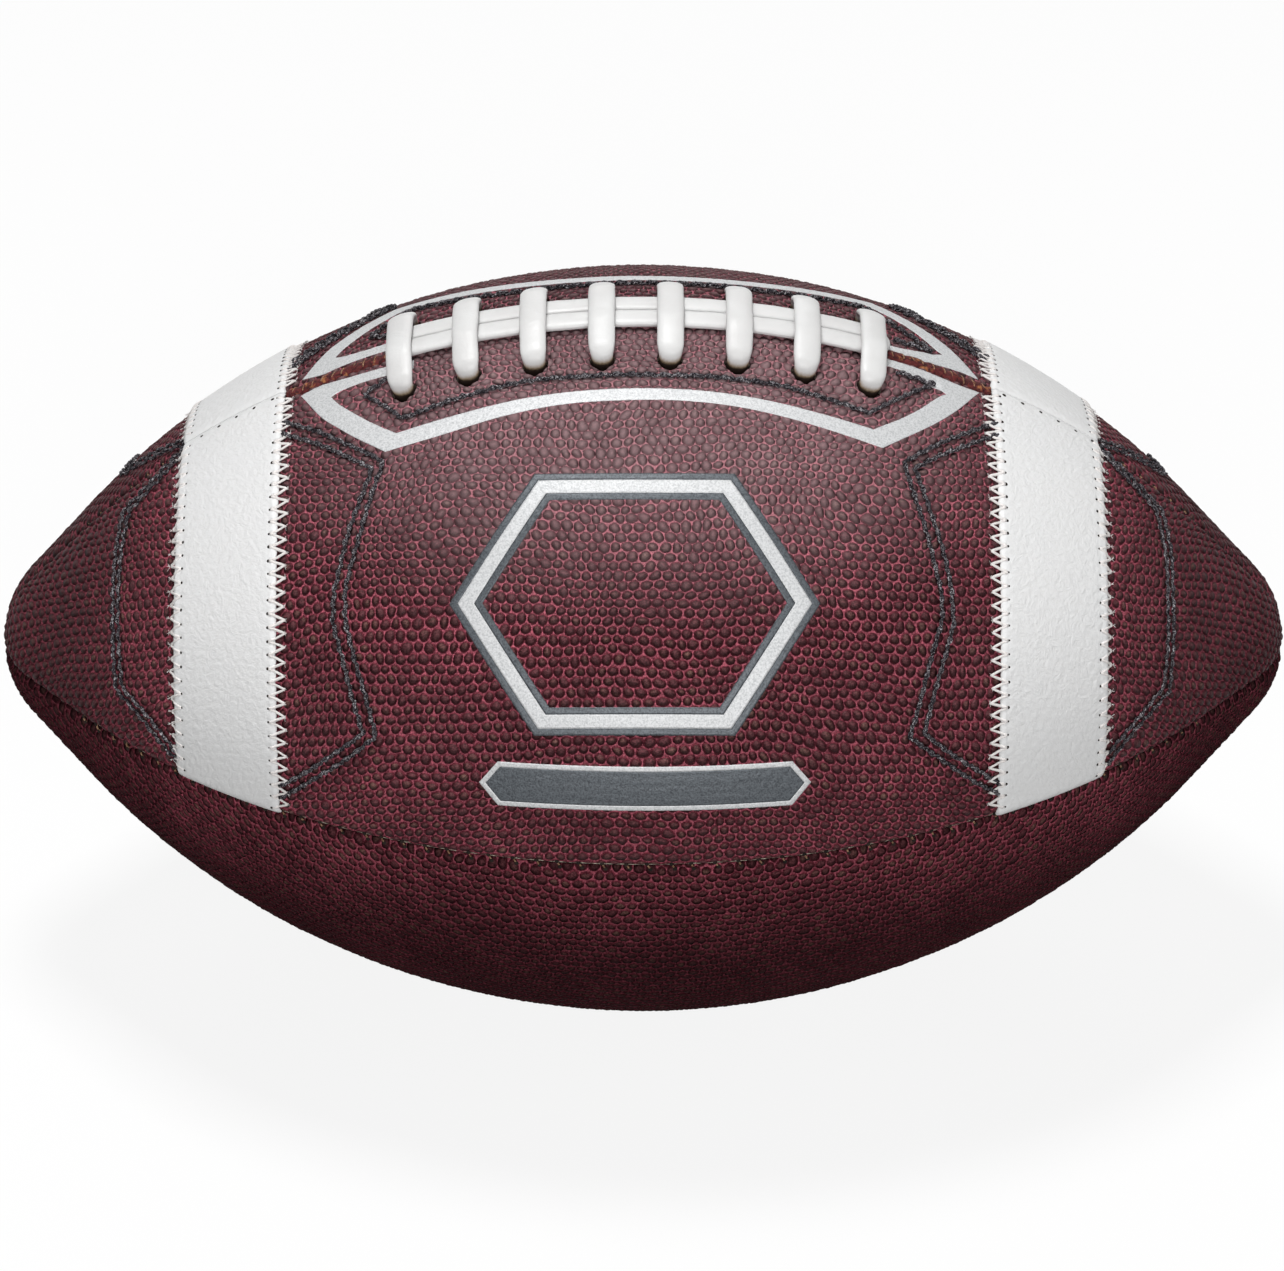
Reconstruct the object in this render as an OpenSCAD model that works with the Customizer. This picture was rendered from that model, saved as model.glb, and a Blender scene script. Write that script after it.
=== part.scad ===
// Laced four-panel football with sewn stripes, bladder and inflation valve
// Long axis on X, lacing on top (+Z), front panels towards -Y
// The ball is drawn about its middle, and each piece is then set on the plane that it rests on

/* [Ball] */
// Length from tip to tip over the leather
ball_length = 288; // [270:1:300]
// Widest diameter over the leather
ball_diameter = 168; // [160:1:176]
// Radius of the rounded noses
nose_radius = 24.5; // [22:0.5:26]
// Slope of the leather where it runs straight into a nose, in degrees
nose_slope = 46.5; // [45:0.5:48]

/* [Panels] */
// Thickness of the leather
panel_thick = 1.8; // [1.5:0.1:2.4]
// How far from a seam the leather begins to turn in
seam_turn_width = 2.5; // [2:0.1:3.5]
// How deep the leather has turned in at the seam
seam_turn_depth = 1.4; // [0.8:0.1:1.4]
// Gap between two panels at a seam
seam_gap = 0.2; // [0.1:0.05:0.6]

/* [Linings] */
// Thickness of the cloth lining behind each panel
lining_thick = 1; // [0.6:0.1:1.5]
// Clearance between two layers
layer_gap = 0.1; // [0.05:0.01:0.2]

/* [Stripes] */
// Distance from a tip of the ball to the far edge of a stripe, measured along the long axis
stripe_inset = 44.25; // [40:0.25:55]
// Width of a stripe along the leather
stripe_width = 27; // [20:0.5:32]
// Thickness of a stripe
stripe_thick = 0.8; // [0.5:0.1:1.2]

/* [Lace holes] */
// Shift of the whole lacing along the ball
lacing_shift = -1.5; // [-4:0.5:4]
// Number of cross laces
cross_count = 8; // [5:1:8]
// Distance between two cross laces along the leather
hole_pitch = 14.5; // [13.5:0.25:15.5]
// Distance from the lace seam to the middle of a hole, round the ball
hole_reach = 13; // [12.5:0.25:15]
// Diameter of a punched hole
hole_bore = 5.8; // [5.6:0.1:6.4]

/* [Lace] */
// Width of the lace where it crosses
lace_width = 5.8; // [5:0.1:6.4]
// Width of the two long strands
strand_width = 5.2; // [4.5:0.1:5.2]
// How far the two long strands lie off the lace seam, towards the rear
strand_shift = 1.3; // [0:0.1:1.3]
// Width of the lace squeezed in a hole
lace_squeeze = 5; // [4:0.1:5]
// Thickness of the lace
lace_thick = 2; // [1.6:0.1:2.2]
// Free space kept between two runs of the lace
lace_gap = 0.5; // [0.45:0.05:0.8]
// Free space between the lace and what it lies on
lace_seat = 0.25; // [0.2:0.05:0.4]

/* [Facings and tongue] */
// Thickness of the punched facings behind the holes
facing_thick = 1.2; // [0.8:0.1:1.6]
// Reach of a facing from the lace seam at its end holes
facing_reach = 22; // [19:0.5:24]
// Reach of a facing from the lace seam at mid ball
facing_waist = 19; // [18:0.5:22]
// How far a facing runs past the end holes
facing_overhang = 12; // [8:0.5:14]
// Thickness of the tongue between lace and bladder
tongue_thick = 1; // [0.6:0.1:1.5]
// How far the tongue runs past the facings
tongue_margin = 4; // [2:0.5:6]

/* [Bladder] */
// Wall of the bladder
bladder_wall = 0.9; // [0.6:0.1:1.4]
// Free rim round the tongue in the hollow of the bladder
hollow_rim = 1.5; // [1:0.1:3]

/* [Valve] */
// Diameter of the neck that comes through the leather
neck_d = 8; // [7:0.1:9]
// Free space round the neck in leather and lining
neck_clearance = 0.2; // [0.1:0.05:0.4]
// How far the neck stays below the leather surface
neck_depth = 0.4; // [0.2:0.1:1]
// Diameter of the flange inside the bladder
flange_d = 26; // [20:0.5:32]
// Thickness of the flange
flange_thick = 1.4; // [1:0.1:2]
// Diameter of the patch between bladder and flange
patch_d = 34; // [33:0.5:40]
// Thickness of the patch
patch_thick = 0.6; // [0.4:0.1:1]
// Length of the housing from the leather inward
housing_length = 17; // [14:0.5:20]
// Diameter of the shaft of the plug
plug_d = 4; // [3.6:0.1:4.4]
// Diameter of the collar that keeps the plug in place
collar_d = 5.4; // [5:0.1:5.8]
// Length of the collar
collar_length = 4; // [3:0.1:6]
// Free space round the plug
plug_clearance = 0.05; // [0.02:0.01:0.1]
// Diameter of the hole for the pump needle
needle_bore = 2; // [1.6:0.1:2.4]

/* [Seam threads] */
// Diameter of the thread that shows in a seam
thread_d = 0.5; // [0.3:0.05:0.6]

/* [Hidden] */

// Facets of the large curves and of small round features
curve_steps = 240;
round_steps = 48;
// Overrun of every cut
overrun = 2;
// How far the stretches of a seam cut overlap, and how much deeper each next one is
cut_overlap = 0.5;
cut_extra_depth = 0.01;

// Main outline: one long arc, a straight stretch and the round nose, tangent to each other
half_length = ball_length / 2;
half_width = ball_diameter / 2;
nose_centre = half_length - nose_radius;
body_radius = (nose_centre * sin(nose_slope) + nose_radius - half_width * cos(nose_slope))
              / (1 - cos(nose_slope));
arc_offset = body_radius - half_width;
straight_length = (nose_centre - arc_offset * tan(nose_slope)) * cos(nose_slope);
mm_to_deg = 180 / PI;

// Depths of the layers below the leather surface
lining_depth = panel_thick + layer_gap;
lining_back = lining_depth + lining_thick;
facing_depth = lining_back + layer_gap;
facing_back = facing_depth + facing_thick;
run_depth = facing_back + lace_seat + lace_thick / 2;
tongue_reach = facing_reach + tongue_margin;
tongue_depth = run_depth + lace_thick / 2 + lace_seat;
hollow_depth = tongue_depth + tongue_thick + layer_gap;
bladder_depth = lining_back + layer_gap;

// Round that turns the leather in at a seam
turn_radius = (seam_turn_width * seam_turn_width + seam_turn_depth * seam_turn_depth) / (2 * seam_turn_depth);

// Quarters of the ball, each turned about X from the front top one
front_top = 0;
front_bottom = 90;
rear_bottom = 180;
rear_top = 270;

// Valve in the middle of the hidden rear bottom panel
valve_side = 225;

// Where the lace holes are along the leather
cross_span = hole_pitch * (cross_count - 1);
function cross_place(i) = i * hole_pitch - cross_span / 2 + lacing_shift;
tongue_half = cross_span / 2 + facing_overhang + tongue_margin;

// Where the stripes end and begin along the leather
stripe_end = asin((half_length - stripe_inset) / body_radius) / mm_to_deg * body_radius;
stripe_start = stripe_end - stripe_width;

// Radius of the ball at a distance along the leather
function ring_radius(along) = body_radius * cos(along / body_radius * mm_to_deg) - arc_offset;
// Angle about the long axis of a distance round the ball from the lace seam
function side_angle(along, around) = around / ring_radius(along) * mm_to_deg;

// Point at a distance along, a distance round from the lace seam (front is positive) and a height
function on_leather(along, around, height) =
    let (beta = along / body_radius * mm_to_deg,
         phi = side_angle(along, around),
         out = (body_radius + height) * cos(beta) - arc_offset)
    [(body_radius + height) * sin(beta), -sin(phi) * out, cos(phi) * out];
// Direction along the leather and direction round the ball at such a point
function along_way(along, around) =
    let (beta = along / body_radius * mm_to_deg, phi = side_angle(along, around))
    [cos(beta), sin(phi) * sin(beta), -cos(phi) * sin(beta)];
function around_way(along, around) =
    let (phi = side_angle(along, around)) [0, -cos(phi), -sin(phi)];

// Moves a shape made at the origin to the leather, its Z pointing out
module at_leather(along, side) {
    rotate([side, 0, 0])
    translate([0, 0, -arc_offset])
    rotate([0, along / body_radius * mm_to_deg, 0])
    translate([0, 0, body_radius])
    children();
}

// Sets the ball on the plane that it rests on
module resting() {
    translate([0, 0, half_width]) children();
}

// Turns a shape revolved about Z onto the long axis: angle 0 on top, 90 in front
module on_long_axis() {
    rotate(180, [1, 0, 1]) children();
}

// Half outline of the ball at a depth below the leather, radius on X and length on Y
module half_outline(depth) {
    arc_end = (body_radius - depth) * [cos(nose_slope), sin(nose_slope)] - [arc_offset, 0];
    nose_start = [0, nose_centre] + (nose_radius - depth) * [cos(nose_slope), sin(nose_slope)];
    core_end = (nose_start[1] + nose_centre + nose_radius - depth) / 2;
    polygon([[0, -core_end], [nose_start[0], -nose_start[1]], [arc_end[0], -arc_end[1]],
             arc_end, nose_start, [0, core_end]]);
    intersection() {
        translate([-arc_offset, 0]) circle(body_radius - depth, $fn = curve_steps);
        translate([0, -arc_end[1]]) square([half_width, 2 * arc_end[1]]);
    }
    for (end = [-1, 1]) scale([1, end])
        intersection() {
            translate([0, nose_centre]) circle(nose_radius - depth, $fn = curve_steps);
            translate([0, nose_start[1]]) square([nose_radius, nose_radius]);
        }
}

// Wall between two depths, over an angle about the long axis
module wall(outer_depth, inner_depth, angle = 90) {
    on_long_axis()
    rotate_extrude(angle = angle, $fn = curve_steps)
    difference() {
        half_outline(outer_depth);
        half_outline(inner_depth);
    }
}

// Keeps the front top quarter, with a margin off each side that lies on a seam
module quarter_room(margin = seam_gap / 2) {
    translate([-half_length - overrun, -half_width - overrun, margin])
    cube([2 * (half_length + overrun), half_width + overrun - margin, half_width + overrun]);
}

// Section of the cut that turns an edge in: radius on X, distance from the seam on Y
module turn_section(radius, lift) {
    difference() {
        translate([radius - turn_radius, -overrun])
        square([turn_radius + lift + overrun, seam_turn_width + overrun]);
        translate([radius - turn_radius, seam_turn_width])
        circle(turn_radius + lift, $fn = curve_steps / 2);
    }
}

// Cut along the arc of the lace seam on its front side, for a surface lifted off the leather
module arc_turn_cut(lift) {
    translate([0, 0, -arc_offset])
    rotate([90, 0, 0])
    rotate([0, 0, 90 - nose_slope])
    rotate_extrude(angle = 2 * nose_slope, $fn = curve_steps)
    turn_section(body_radius, lift);
}

// The same cut from tip to tip: each stretch overlaps the one before it, a hair deeper
module turn_cut(lift) {
    nose_start = 90 - nose_slope + cut_overlap / nose_radius * mm_to_deg;
    nose_end = -10;
    arc_turn_cut(lift);
    for (end = [0, 1]) mirror([end, 0, 0]) {
        translate([0, 0, -arc_offset])
        rotate([0, nose_slope, 0])
        translate([-cut_overlap, 0, -cut_extra_depth])
        rotate([90, 0, 90])
        linear_extrude(straight_length + 2 * cut_overlap)
        rotate([0, 0, 90])
        turn_section(body_radius, lift);
        translate([nose_centre, 0, 0])
        rotate([90, 0, 0])
        rotate([0, 0, nose_end])
        rotate_extrude(angle = nose_start - nose_end, $fn = curve_steps)
        turn_section(nose_radius - 2 * cut_extra_depth, lift);
    }
}

// Both turned edges of the front top quarter
module turned_edges() {
    turn_cut(0);
    rotate([90, 0, 0]) mirror([0, 1, 0]) turn_cut(0);
}

// Round holes for the lace through every layer, on one side of the lace seam (1 front, -1 rear)
module lace_holes(side) {
    for (i = [0:cross_count - 1])
        at_leather(cross_place(i), side * side_angle(cross_place(i), hole_reach))
        translate([0, 0, -facing_back - overrun])
        cylinder(d = hole_bore, h = facing_back + 2 * overrun, $fn = round_steps);
}

// Slot across the lace seam, under the first cross lace, where the long strands go in
module strand_slot() {
    slot_end = strand_place + strand_width / 2 + lace_gap - strand_slot_width / 2;
    at_leather(strand_end, side_angle(strand_end, -strand_shift))
    translate([0, 0, -facing_back - overrun]) {
        for (side = [-1, 1])
            translate([0, side * slot_end, 0])
            cylinder(d = strand_slot_width, h = facing_back + 2 * overrun, $fn = round_steps);
        translate([-strand_slot_width / 2, -slot_end, 0])
        cube([strand_slot_width, 2 * slot_end, facing_back + 2 * overrun]);
    }
}

// Leather of one quarter, made in the front top place
module panel_form() {
    difference() {
        intersection() {
            wall(0, panel_thick);
            quarter_room();
        }
        turned_edges();
    }
}

// Lining of one quarter, made in the front top place
module lining_form() {
    intersection() {
        wall(lining_depth, lining_back);
        quarter_room();
    }
}

module panel(quarter) {
    color("#4a1a1c") resting() rotate([quarter, 0, 0]) panel_form();
}

module lining(quarter) {
    color("#d8cdb4") resting() rotate([quarter, 0, 0]) lining_form();
}

module panel_front_top() {
    color("#4a1a1c") resting() difference() {
        panel_form();
        lace_holes(1);
        strand_slot();
    }
}

module panel_rear_top() {
    color("#4a1a1c") resting() difference() {
        rotate([rear_top, 0, 0]) panel_form();
        lace_holes(-1);
        strand_slot();
    }
}

module panel_front_bottom() {
    panel(front_bottom);
}

module panel_rear_bottom() {
    color("#4a1a1c") resting() difference() {
        rotate([rear_bottom, 0, 0]) panel_form();
        neck_hole(neck_d + 2 * neck_clearance);
    }
}

module lining_front_top() {
    color("#d8cdb4") resting() difference() {
        lining_form();
        lace_holes(1);
        strand_slot();
    }
}

module lining_rear_top() {
    color("#d8cdb4") resting() difference() {
        rotate([rear_top, 0, 0]) lining_form();
        lace_holes(-1);
        strand_slot();
    }
}

module lining_front_bottom() {
    lining(front_bottom);
}

module lining_rear_bottom() {
    color("#d8cdb4") resting() difference() {
        rotate([rear_bottom, 0, 0]) lining_form();
        neck_hole(neck_d + 2 * neck_clearance);
    }
}

// Block of the front top quarter under a stripe, up to a height over the leather
module stripe_block(lift, margin) {
    from = (stripe_start - margin) / body_radius * mm_to_deg;
    to = (stripe_start + stripe_width + margin) / body_radius * mm_to_deg;
    near = body_radius - turn_radius - margin;
    far = body_radius + lift + overrun;
    difference() {
        on_long_axis()
        rotate_extrude(angle = 90, $fn = curve_steps)
        translate([-arc_offset, 0])
        intersection() {
            circle(body_radius + lift, $fn = curve_steps);
            polygon([near * [cos(from), sin(from)], far * [cos(from), sin(from)],
                     far * [cos(to), sin(to)], near * [cos(to), sin(to)]]);
        }
        arc_turn_cut(lift);
        rotate([90, 0, 0]) mirror([0, 1, 0]) arc_turn_cut(lift);
    }
}

// Right stripe of the front top quarter, whose ends stop beside the seam threads
module stripe_form() {
    difference() {
        intersection() {
            stripe_block(layer_gap + stripe_thick, 0);
            quarter_room(thread_d / 2 + layer_gap);
        }
        stripe_block(layer_gap, overrun);
    }
}

module stripe(quarter, left) {
    color("#ebebe6") resting() rotate([quarter, 0, 0]) mirror([left, 0, 0]) stripe_form();
}

module stripe_front_left() {
    stripe(front_top, 1);
}

module stripe_front_right() {
    stripe(front_top, 0);
}

module stripe_rear_left() {
    stripe(rear_top, 1);
}

module stripe_rear_right() {
    stripe(rear_top, 0);
}

// Route of the lace
// Where the long strands lie and where they go in
strand_place = (strand_width + lace_gap) / 2;
strand_front = strand_place - strand_shift;
strand_rear = -strand_place - strand_shift;
strand_height = lace_seat + lace_thick / 2;
strand_end = cross_place(0) - lace_thick / 3;
inside_front = strand_front + lace_gap / 2;
inside_rear = strand_rear - lace_gap / 2;
strand_slot_width = lace_thick + 2 * lace_gap;
// Height of a cross lace over the strands, and at its shoulders by the holes
cross_height = strand_height + lace_thick + lace_gap;
shoulder_height = strand_height + lace_seat;
cross_flat = strand_place + strand_width / 2;
// Bends of the lace
bend_radius = 0.95 * lace_thick;
fold_radius = 0.62 * strand_width;
tail_length = 1.6 * strand_width;
bend_steps = 4;
inner_steps = 3;
fold_steps = 6;
run_steps = 4;
strand_steps = 2 * cross_count - 1;

// One corner of the route: along, around, height, flat side angle in and out, bend radius and
// steps, width in and out
function corner(along, around, height, flat, radius, width, steps = bend_steps) =
    [along, around, height, flat, flat, radius, steps, width, width];
function shoulder(along, around, width_in, width_out) =
    [along, around, shoulder_height, 0, 0, bend_radius, bend_steps, width_in, width_out];
function fold(along, around, height, flat_in, flat_out, radius, width) =
    [along, around, height, flat_in, flat_out, radius, fold_steps, width, width];

// One cross lace, from inside behind the rear hole to inside behind the front hole
function cross_corners(along, first_flat) = [
    corner(along, -hole_reach, -run_depth, first_flat, bend_radius, lace_squeeze, inner_steps),
    shoulder(along, -hole_reach, lace_squeeze, lace_width),
    corner(along, -strand_shift - cross_flat, cross_height, 0, 0, lace_width),
    corner(along, -strand_shift, cross_height, 0, 0, lace_width),
    corner(along, -strand_shift + cross_flat, cross_height, 0, 0, lace_width),
    shoulder(along, hole_reach, lace_width, lace_squeeze),
    corner(along, hole_reach, -run_depth, 0, bend_radius, lace_squeeze, inner_steps)];

// Run behind the facings from a front hole to the next rear hole
function inner_corners(along) = [for (k = [1:run_steps - 1]) let (share = k / run_steps)
    corner(along + hole_pitch * share, hole_reach * (1 - 2 * share), -run_depth, 0, 0,
           lace_squeeze)];

// Where the rear strand folds inside the ball, on its way to the first rear hole
fold_along = strand_end - 1.7 * strand_width;
first_step = [cross_place(0) - fold_along, -hole_reach - inside_rear];
first_angle = 90 + atan2(first_step[1], first_step[0]);
first_share = 0.6;
turn_along = cross_place(cross_count - 1) - 2 * lace_gap;

route = concat(
    [corner(strand_end - tail_length, inside_front, -run_depth, 90, 0, lace_squeeze),
     corner(strand_end, inside_front, -run_depth, 90, bend_radius, lace_squeeze, inner_steps),
     corner(strand_end, strand_front, strand_height, 90, bend_radius, strand_width)],
    [for (k = [1:strand_steps - 1])
        corner(strand_end + (turn_along - strand_end) * k / strand_steps, strand_front,
               strand_height, 90, 0, strand_width)],
    [fold(turn_along + strand_place, strand_front, strand_height, 90, 0,
          strand_place, strand_width),
     fold(turn_along + strand_place, strand_rear, strand_height, 0, -90,
          strand_place, strand_width)],
    [for (k = [strand_steps - 1:-1:1])
        corner(strand_end + (turn_along - strand_end) * k / strand_steps, strand_rear,
               strand_height, -90, 0, strand_width)],
    [corner(strand_end, strand_rear, strand_height, -90, bend_radius, strand_width),
     corner(strand_end, inside_rear, -run_depth, -90, bend_radius, lace_squeeze, inner_steps),
     fold(fold_along, inside_rear, -run_depth, -90, first_angle, fold_radius, lace_squeeze),
     corner(fold_along + first_step[0] * first_share, inside_rear + first_step[1] * first_share,
            -run_depth, first_angle, 0, lace_squeeze)],
    [for (i = [0:cross_count - 1])
        each concat(cross_corners(cross_place(i), i == 0 ? first_angle : 0),
                    i < cross_count - 1 ? inner_corners(cross_place(i)) : [])],
    [for (share = [0.5, 1])
        corner(cross_place(cross_count - 1), hole_reach + (strand_place - hole_reach) * share,
               -run_depth, 0, 0, lace_squeeze)]);

function unit(v) = v / norm(v);
function corner_point(c) = on_leather(c[0], c[1], c[2]);
function flat_way(c, share) =
    let (turn = c[3] + (c[4] - c[3]) * share)
    cos(turn) * along_way(c[0], c[1]) + sin(turn) * around_way(c[0], c[1]);

// Points of the route: place, direction, direction of the flat side, width
function corner_stops(before, here, after, c) =
    let (back = unit(before - here), on = unit(after - here), half = acos(back * on) / 2)
    c[5] == 0 ? [[here, unit(on - back), flat_way(c, 0), c[7]]] :
    let (reach = c[5] / tan(half),
         start = here + back * reach,
         heart = here + unit(back + on) * c[5] / sin(half),
         arm = start - heart,
         sweep = 180 - 2 * half)
    [for (k = [0:c[6]])
        let (share = k / c[6], turn = sweep * share)
        [heart + arm * cos(turn) - back * c[5] * sin(turn),
         unit(-back * cos(turn) - unit(arm) * sin(turn)), flat_way(c, share),
         c[7] + (c[8] - c[7]) * share]];

last = len(route) - 1;
stops = concat(
    [let (here = corner_point(route[0]), after = corner_point(route[1]))
        [here, unit(after - here), flat_way(route[0], 0), route[0][7]]],
    [for (i = [1:last - 1])
        each corner_stops(corner_point(route[i - 1]), corner_point(route[i]),
                          corner_point(route[i + 1]), route[i])],
    [let (here = corner_point(route[last]), before = corner_point(route[last - 1]))
        [here, unit(here - before), flat_way(route[last], 0), route[last][7]]]);

// Flat oval section, as shares of half the width and half the thickness
section_shares = [[1, 0.42], [0.7, 1], [-0.7, 1], [-1, 0.42], [-1, -0.42], [-0.7, -1], [0.7, -1],
                  [1, -0.42]];
sides = len(section_shares);
function ring_of(stop) =
    let (way = stop[1],
         wide = unit(stop[2] - way * (stop[2] * way)),
         thin = cross(way, wide))
    [for (p = section_shares)
        stop[0] + wide * p[0] * stop[3] / 2 + thin * p[1] * lace_thick / 2];

// Least distance between points of the lace that lie far apart along it
function run_sum(points, i = 0, sum = 0, list = []) =
    i >= len(points) ? list :
    run_sum(points, i + 1, i + 1 < len(points) ? sum + norm(points[i + 1][0] - points[i][0]) : sum,
            concat(list, [sum]));
function least_gap(rings, points, ways) =
    min([for (i = [0:len(points) - 2], j = [i + 1:len(points) - 1])
        if (ways[j] - ways[i] > 1.4 * strand_width
            && norm(points[i][0] - points[j][0]) < 2 * lace_width)
            min([for (p = rings[i], q = rings[j]) norm(p - q)])]);

module lace() {
    rings = [for (stop = stops) ring_of(stop)];
    count = len(rings);
    ways = run_sum(stops);
    echo(lace_length = ways[count - 1], lace_rings = count,
         lace_least_gap = least_gap(rings, stops, ways));
    points = [for (ring = rings) each ring];
    walls = [for (i = [0:count - 2], k = [0:sides - 1])
        let (a = i * sides + k, b = i * sides + (k + 1) % sides)
        each [[a, b, b + sides], [a, b + sides, a + sides]]];
    start_cap = [for (k = [1:sides - 2]) [0, k + 1, k]];
    end_cap = [for (k = [1:sides - 2])
        [(count - 1) * sides, (count - 1) * sides + k, (count - 1) * sides + k + 1]];
    color("#f0f0ec") resting()
    polyhedron(points, concat(walls, start_cap, end_cap));
}

// Outline of a facing seen from above, front side, following the stitch line round the lacing
module facing_outline() {
    end = cross_span / 2;
    tip = end + facing_overhang;
    half = [[tip, -seam_turn_width], [tip, -seam_turn_width - facing_overhang / 4],
            [end, -facing_reach], [end / 2, -facing_waist]];
    translate([lacing_shift, 0])
    polygon(concat(half, [for (k = [3:-1:0]) [-half[k][0], half[k][1]]]));
}

module facing(side) {
    color("#5b3a2a") resting() difference() {
        intersection() {
            mirror([0, side < 0 ? 1 : 0, 0]) wall(facing_depth, facing_back);
            mirror([0, side < 0 ? 1 : 0, 0]) linear_extrude(half_width) facing_outline();
        }
        lace_holes(side);
        strand_slot();
    }
}

module lace_facing_front() {
    facing(1);
}

module lace_facing_rear() {
    facing(-1);
}

// Patch of a wall round the lacing, between two depths
module lacing_patch(outer_depth, inner_depth, reach, half) {
    angle = 2 * side_angle(0, reach);
    on_long_axis()
    rotate([0, 0, -angle / 2])
    rotate_extrude(angle = angle, $fn = curve_steps)
    intersection() {
        difference() {
            translate([-arc_offset, 0]) circle(body_radius - outer_depth, $fn = curve_steps);
            translate([-arc_offset, 0]) circle(body_radius - inner_depth, $fn = curve_steps);
        }
        translate([0, lacing_shift - half]) square([ball_diameter, 2 * half]);
    }
}

module tongue() {
    color("#c9b48c") resting()
    lacing_patch(tongue_depth, tongue_depth + tongue_thick, tongue_reach, tongue_half);
}

// Ball at a depth, with the hollow for lace and tongue let in to a second depth
module bladder_core(depth, hollow, rim) {
    difference() {
        on_long_axis() rotate_extrude($fn = curve_steps) half_outline(depth);
        lacing_patch(-overrun, hollow, tongue_reach + rim, tongue_half + rim);
    }
}

module bladder() {
    color("#2a2a2a") resting() difference() {
        bladder_core(bladder_depth, hollow_depth, hollow_rim);
        bladder_core(bladder_depth + bladder_wall, hollow_depth + bladder_wall,
                     hollow_rim + bladder_wall);
        neck_hole(neck_d + 2 * neck_clearance);
    }
}

// Straight hole at the valve, through every layer
module neck_hole(diameter) {
    at_leather(0, valve_side)
    translate([0, 0, -housing_length])
    cylinder(d = diameter, h = housing_length + overrun, $fn = round_steps);
}

// Round piece of a wall, about the valve
module valve_disc(outer_depth, inner_depth, diameter) {
    intersection() {
        rotate([180, 0, 0]) wall(outer_depth, inner_depth);
        at_leather(0, valve_side)
        translate([0, 0, -housing_length])
        cylinder(d = diameter, h = housing_length, $fn = 2 * round_steps);
    }
}

patch_depth = bladder_depth + bladder_wall + layer_gap;
flange_depth = patch_depth + patch_thick + layer_gap;

module valve_patch() {
    color("#3a3a3a") resting() difference() {
        valve_disc(patch_depth, patch_depth + patch_thick, patch_d);
        neck_hole(neck_d + 2 * neck_clearance);
    }
}

collar_top = (housing_length + collar_length) / 2;
collar_foot = collar_top - collar_length;

module valve_housing() {
    plug_hole = plug_d + 2 * plug_clearance;
    collar_hole = collar_d + 2 * plug_clearance;
    color("#1e1e1e") resting() difference() {
        union() {
            at_leather(0, valve_side)
            translate([0, 0, -housing_length])
            cylinder(d = neck_d, h = housing_length - neck_depth, $fn = round_steps);
            valve_disc(flange_depth, flange_depth + flange_thick, flange_d);
        }
        at_leather(0, valve_side)
        translate([0, 0, -housing_length]) {
            translate([0, 0, -overrun])
            cylinder(d = plug_hole, h = housing_length + 2 * overrun, $fn = round_steps);
            translate([0, 0, collar_foot - plug_clearance])
            cylinder(d = collar_hole, h = collar_length + 2 * plug_clearance, $fn = round_steps);
        }
    }
}

module valve_plug() {
    color("#44474a") resting()
    at_leather(0, valve_side)
    translate([0, 0, -housing_length])
    difference() {
        union() {
            cylinder(d = plug_d, h = housing_length - neck_depth, $fn = round_steps);
            translate([0, 0, collar_foot])
            cylinder(d = collar_d, h = collar_length, $fn = round_steps);
        }
        translate([0, 0, -overrun])
        cylinder(d = needle_bore, h = housing_length + overrun, $fn = round_steps);
    }
}

// Thread in a seam: it lies in the valley between two turned edges
thread_reach = turn_radius + thread_d / 2 + seam_gap;
thread_depth = turn_radius - sqrt(thread_reach * thread_reach - seam_turn_width * seam_turn_width);

module thread_arc(from, to) {
    translate([0, 0, -arc_offset])
    rotate([90, 0, 0])
    rotate([0, 0, 90 - to])
    rotate_extrude(angle = to - from, $fn = curve_steps)
    translate([body_radius - thread_depth, 0])
    circle(d = thread_d, $fn = round_steps);
}

module seam_thread(side) {
    color("#b98a55") resting() rotate([side, 0, 0]) thread_arc(-nose_slope, nose_slope);
}

// The thread of the lace seam stops short of the lacing at each end
function lacing_end(way) =
    (lacing_shift + way * (cross_span / 2 + facing_overhang)) / body_radius * mm_to_deg;

module seam_thread_top_left() {
    color("#b98a55") resting() thread_arc(-nose_slope, lacing_end(-1));
}

module seam_thread_top_right() {
    color("#b98a55") resting() thread_arc(lacing_end(1), nose_slope);
}

module seam_thread_front() {
    seam_thread(front_bottom);
}

module seam_thread_bottom() {
    seam_thread(rear_bottom);
}

module seam_thread_rear() {
    seam_thread(rear_top);
}

panel_front_top();
panel_rear_top();
panel_front_bottom();
panel_rear_bottom();
lining_front_top();
lining_rear_top();
lining_front_bottom();
lining_rear_bottom();
stripe_front_left();
stripe_front_right();
stripe_rear_left();
stripe_rear_right();
lace();
lace_facing_front();
lace_facing_rear();
tongue();
bladder();
valve_patch();
valve_housing();
valve_plug();
seam_thread_top_left();
seam_thread_top_right();
seam_thread_front();
seam_thread_bottom();
seam_thread_rear();
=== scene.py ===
# Laced leather football in a plain studio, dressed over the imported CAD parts
import math

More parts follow.
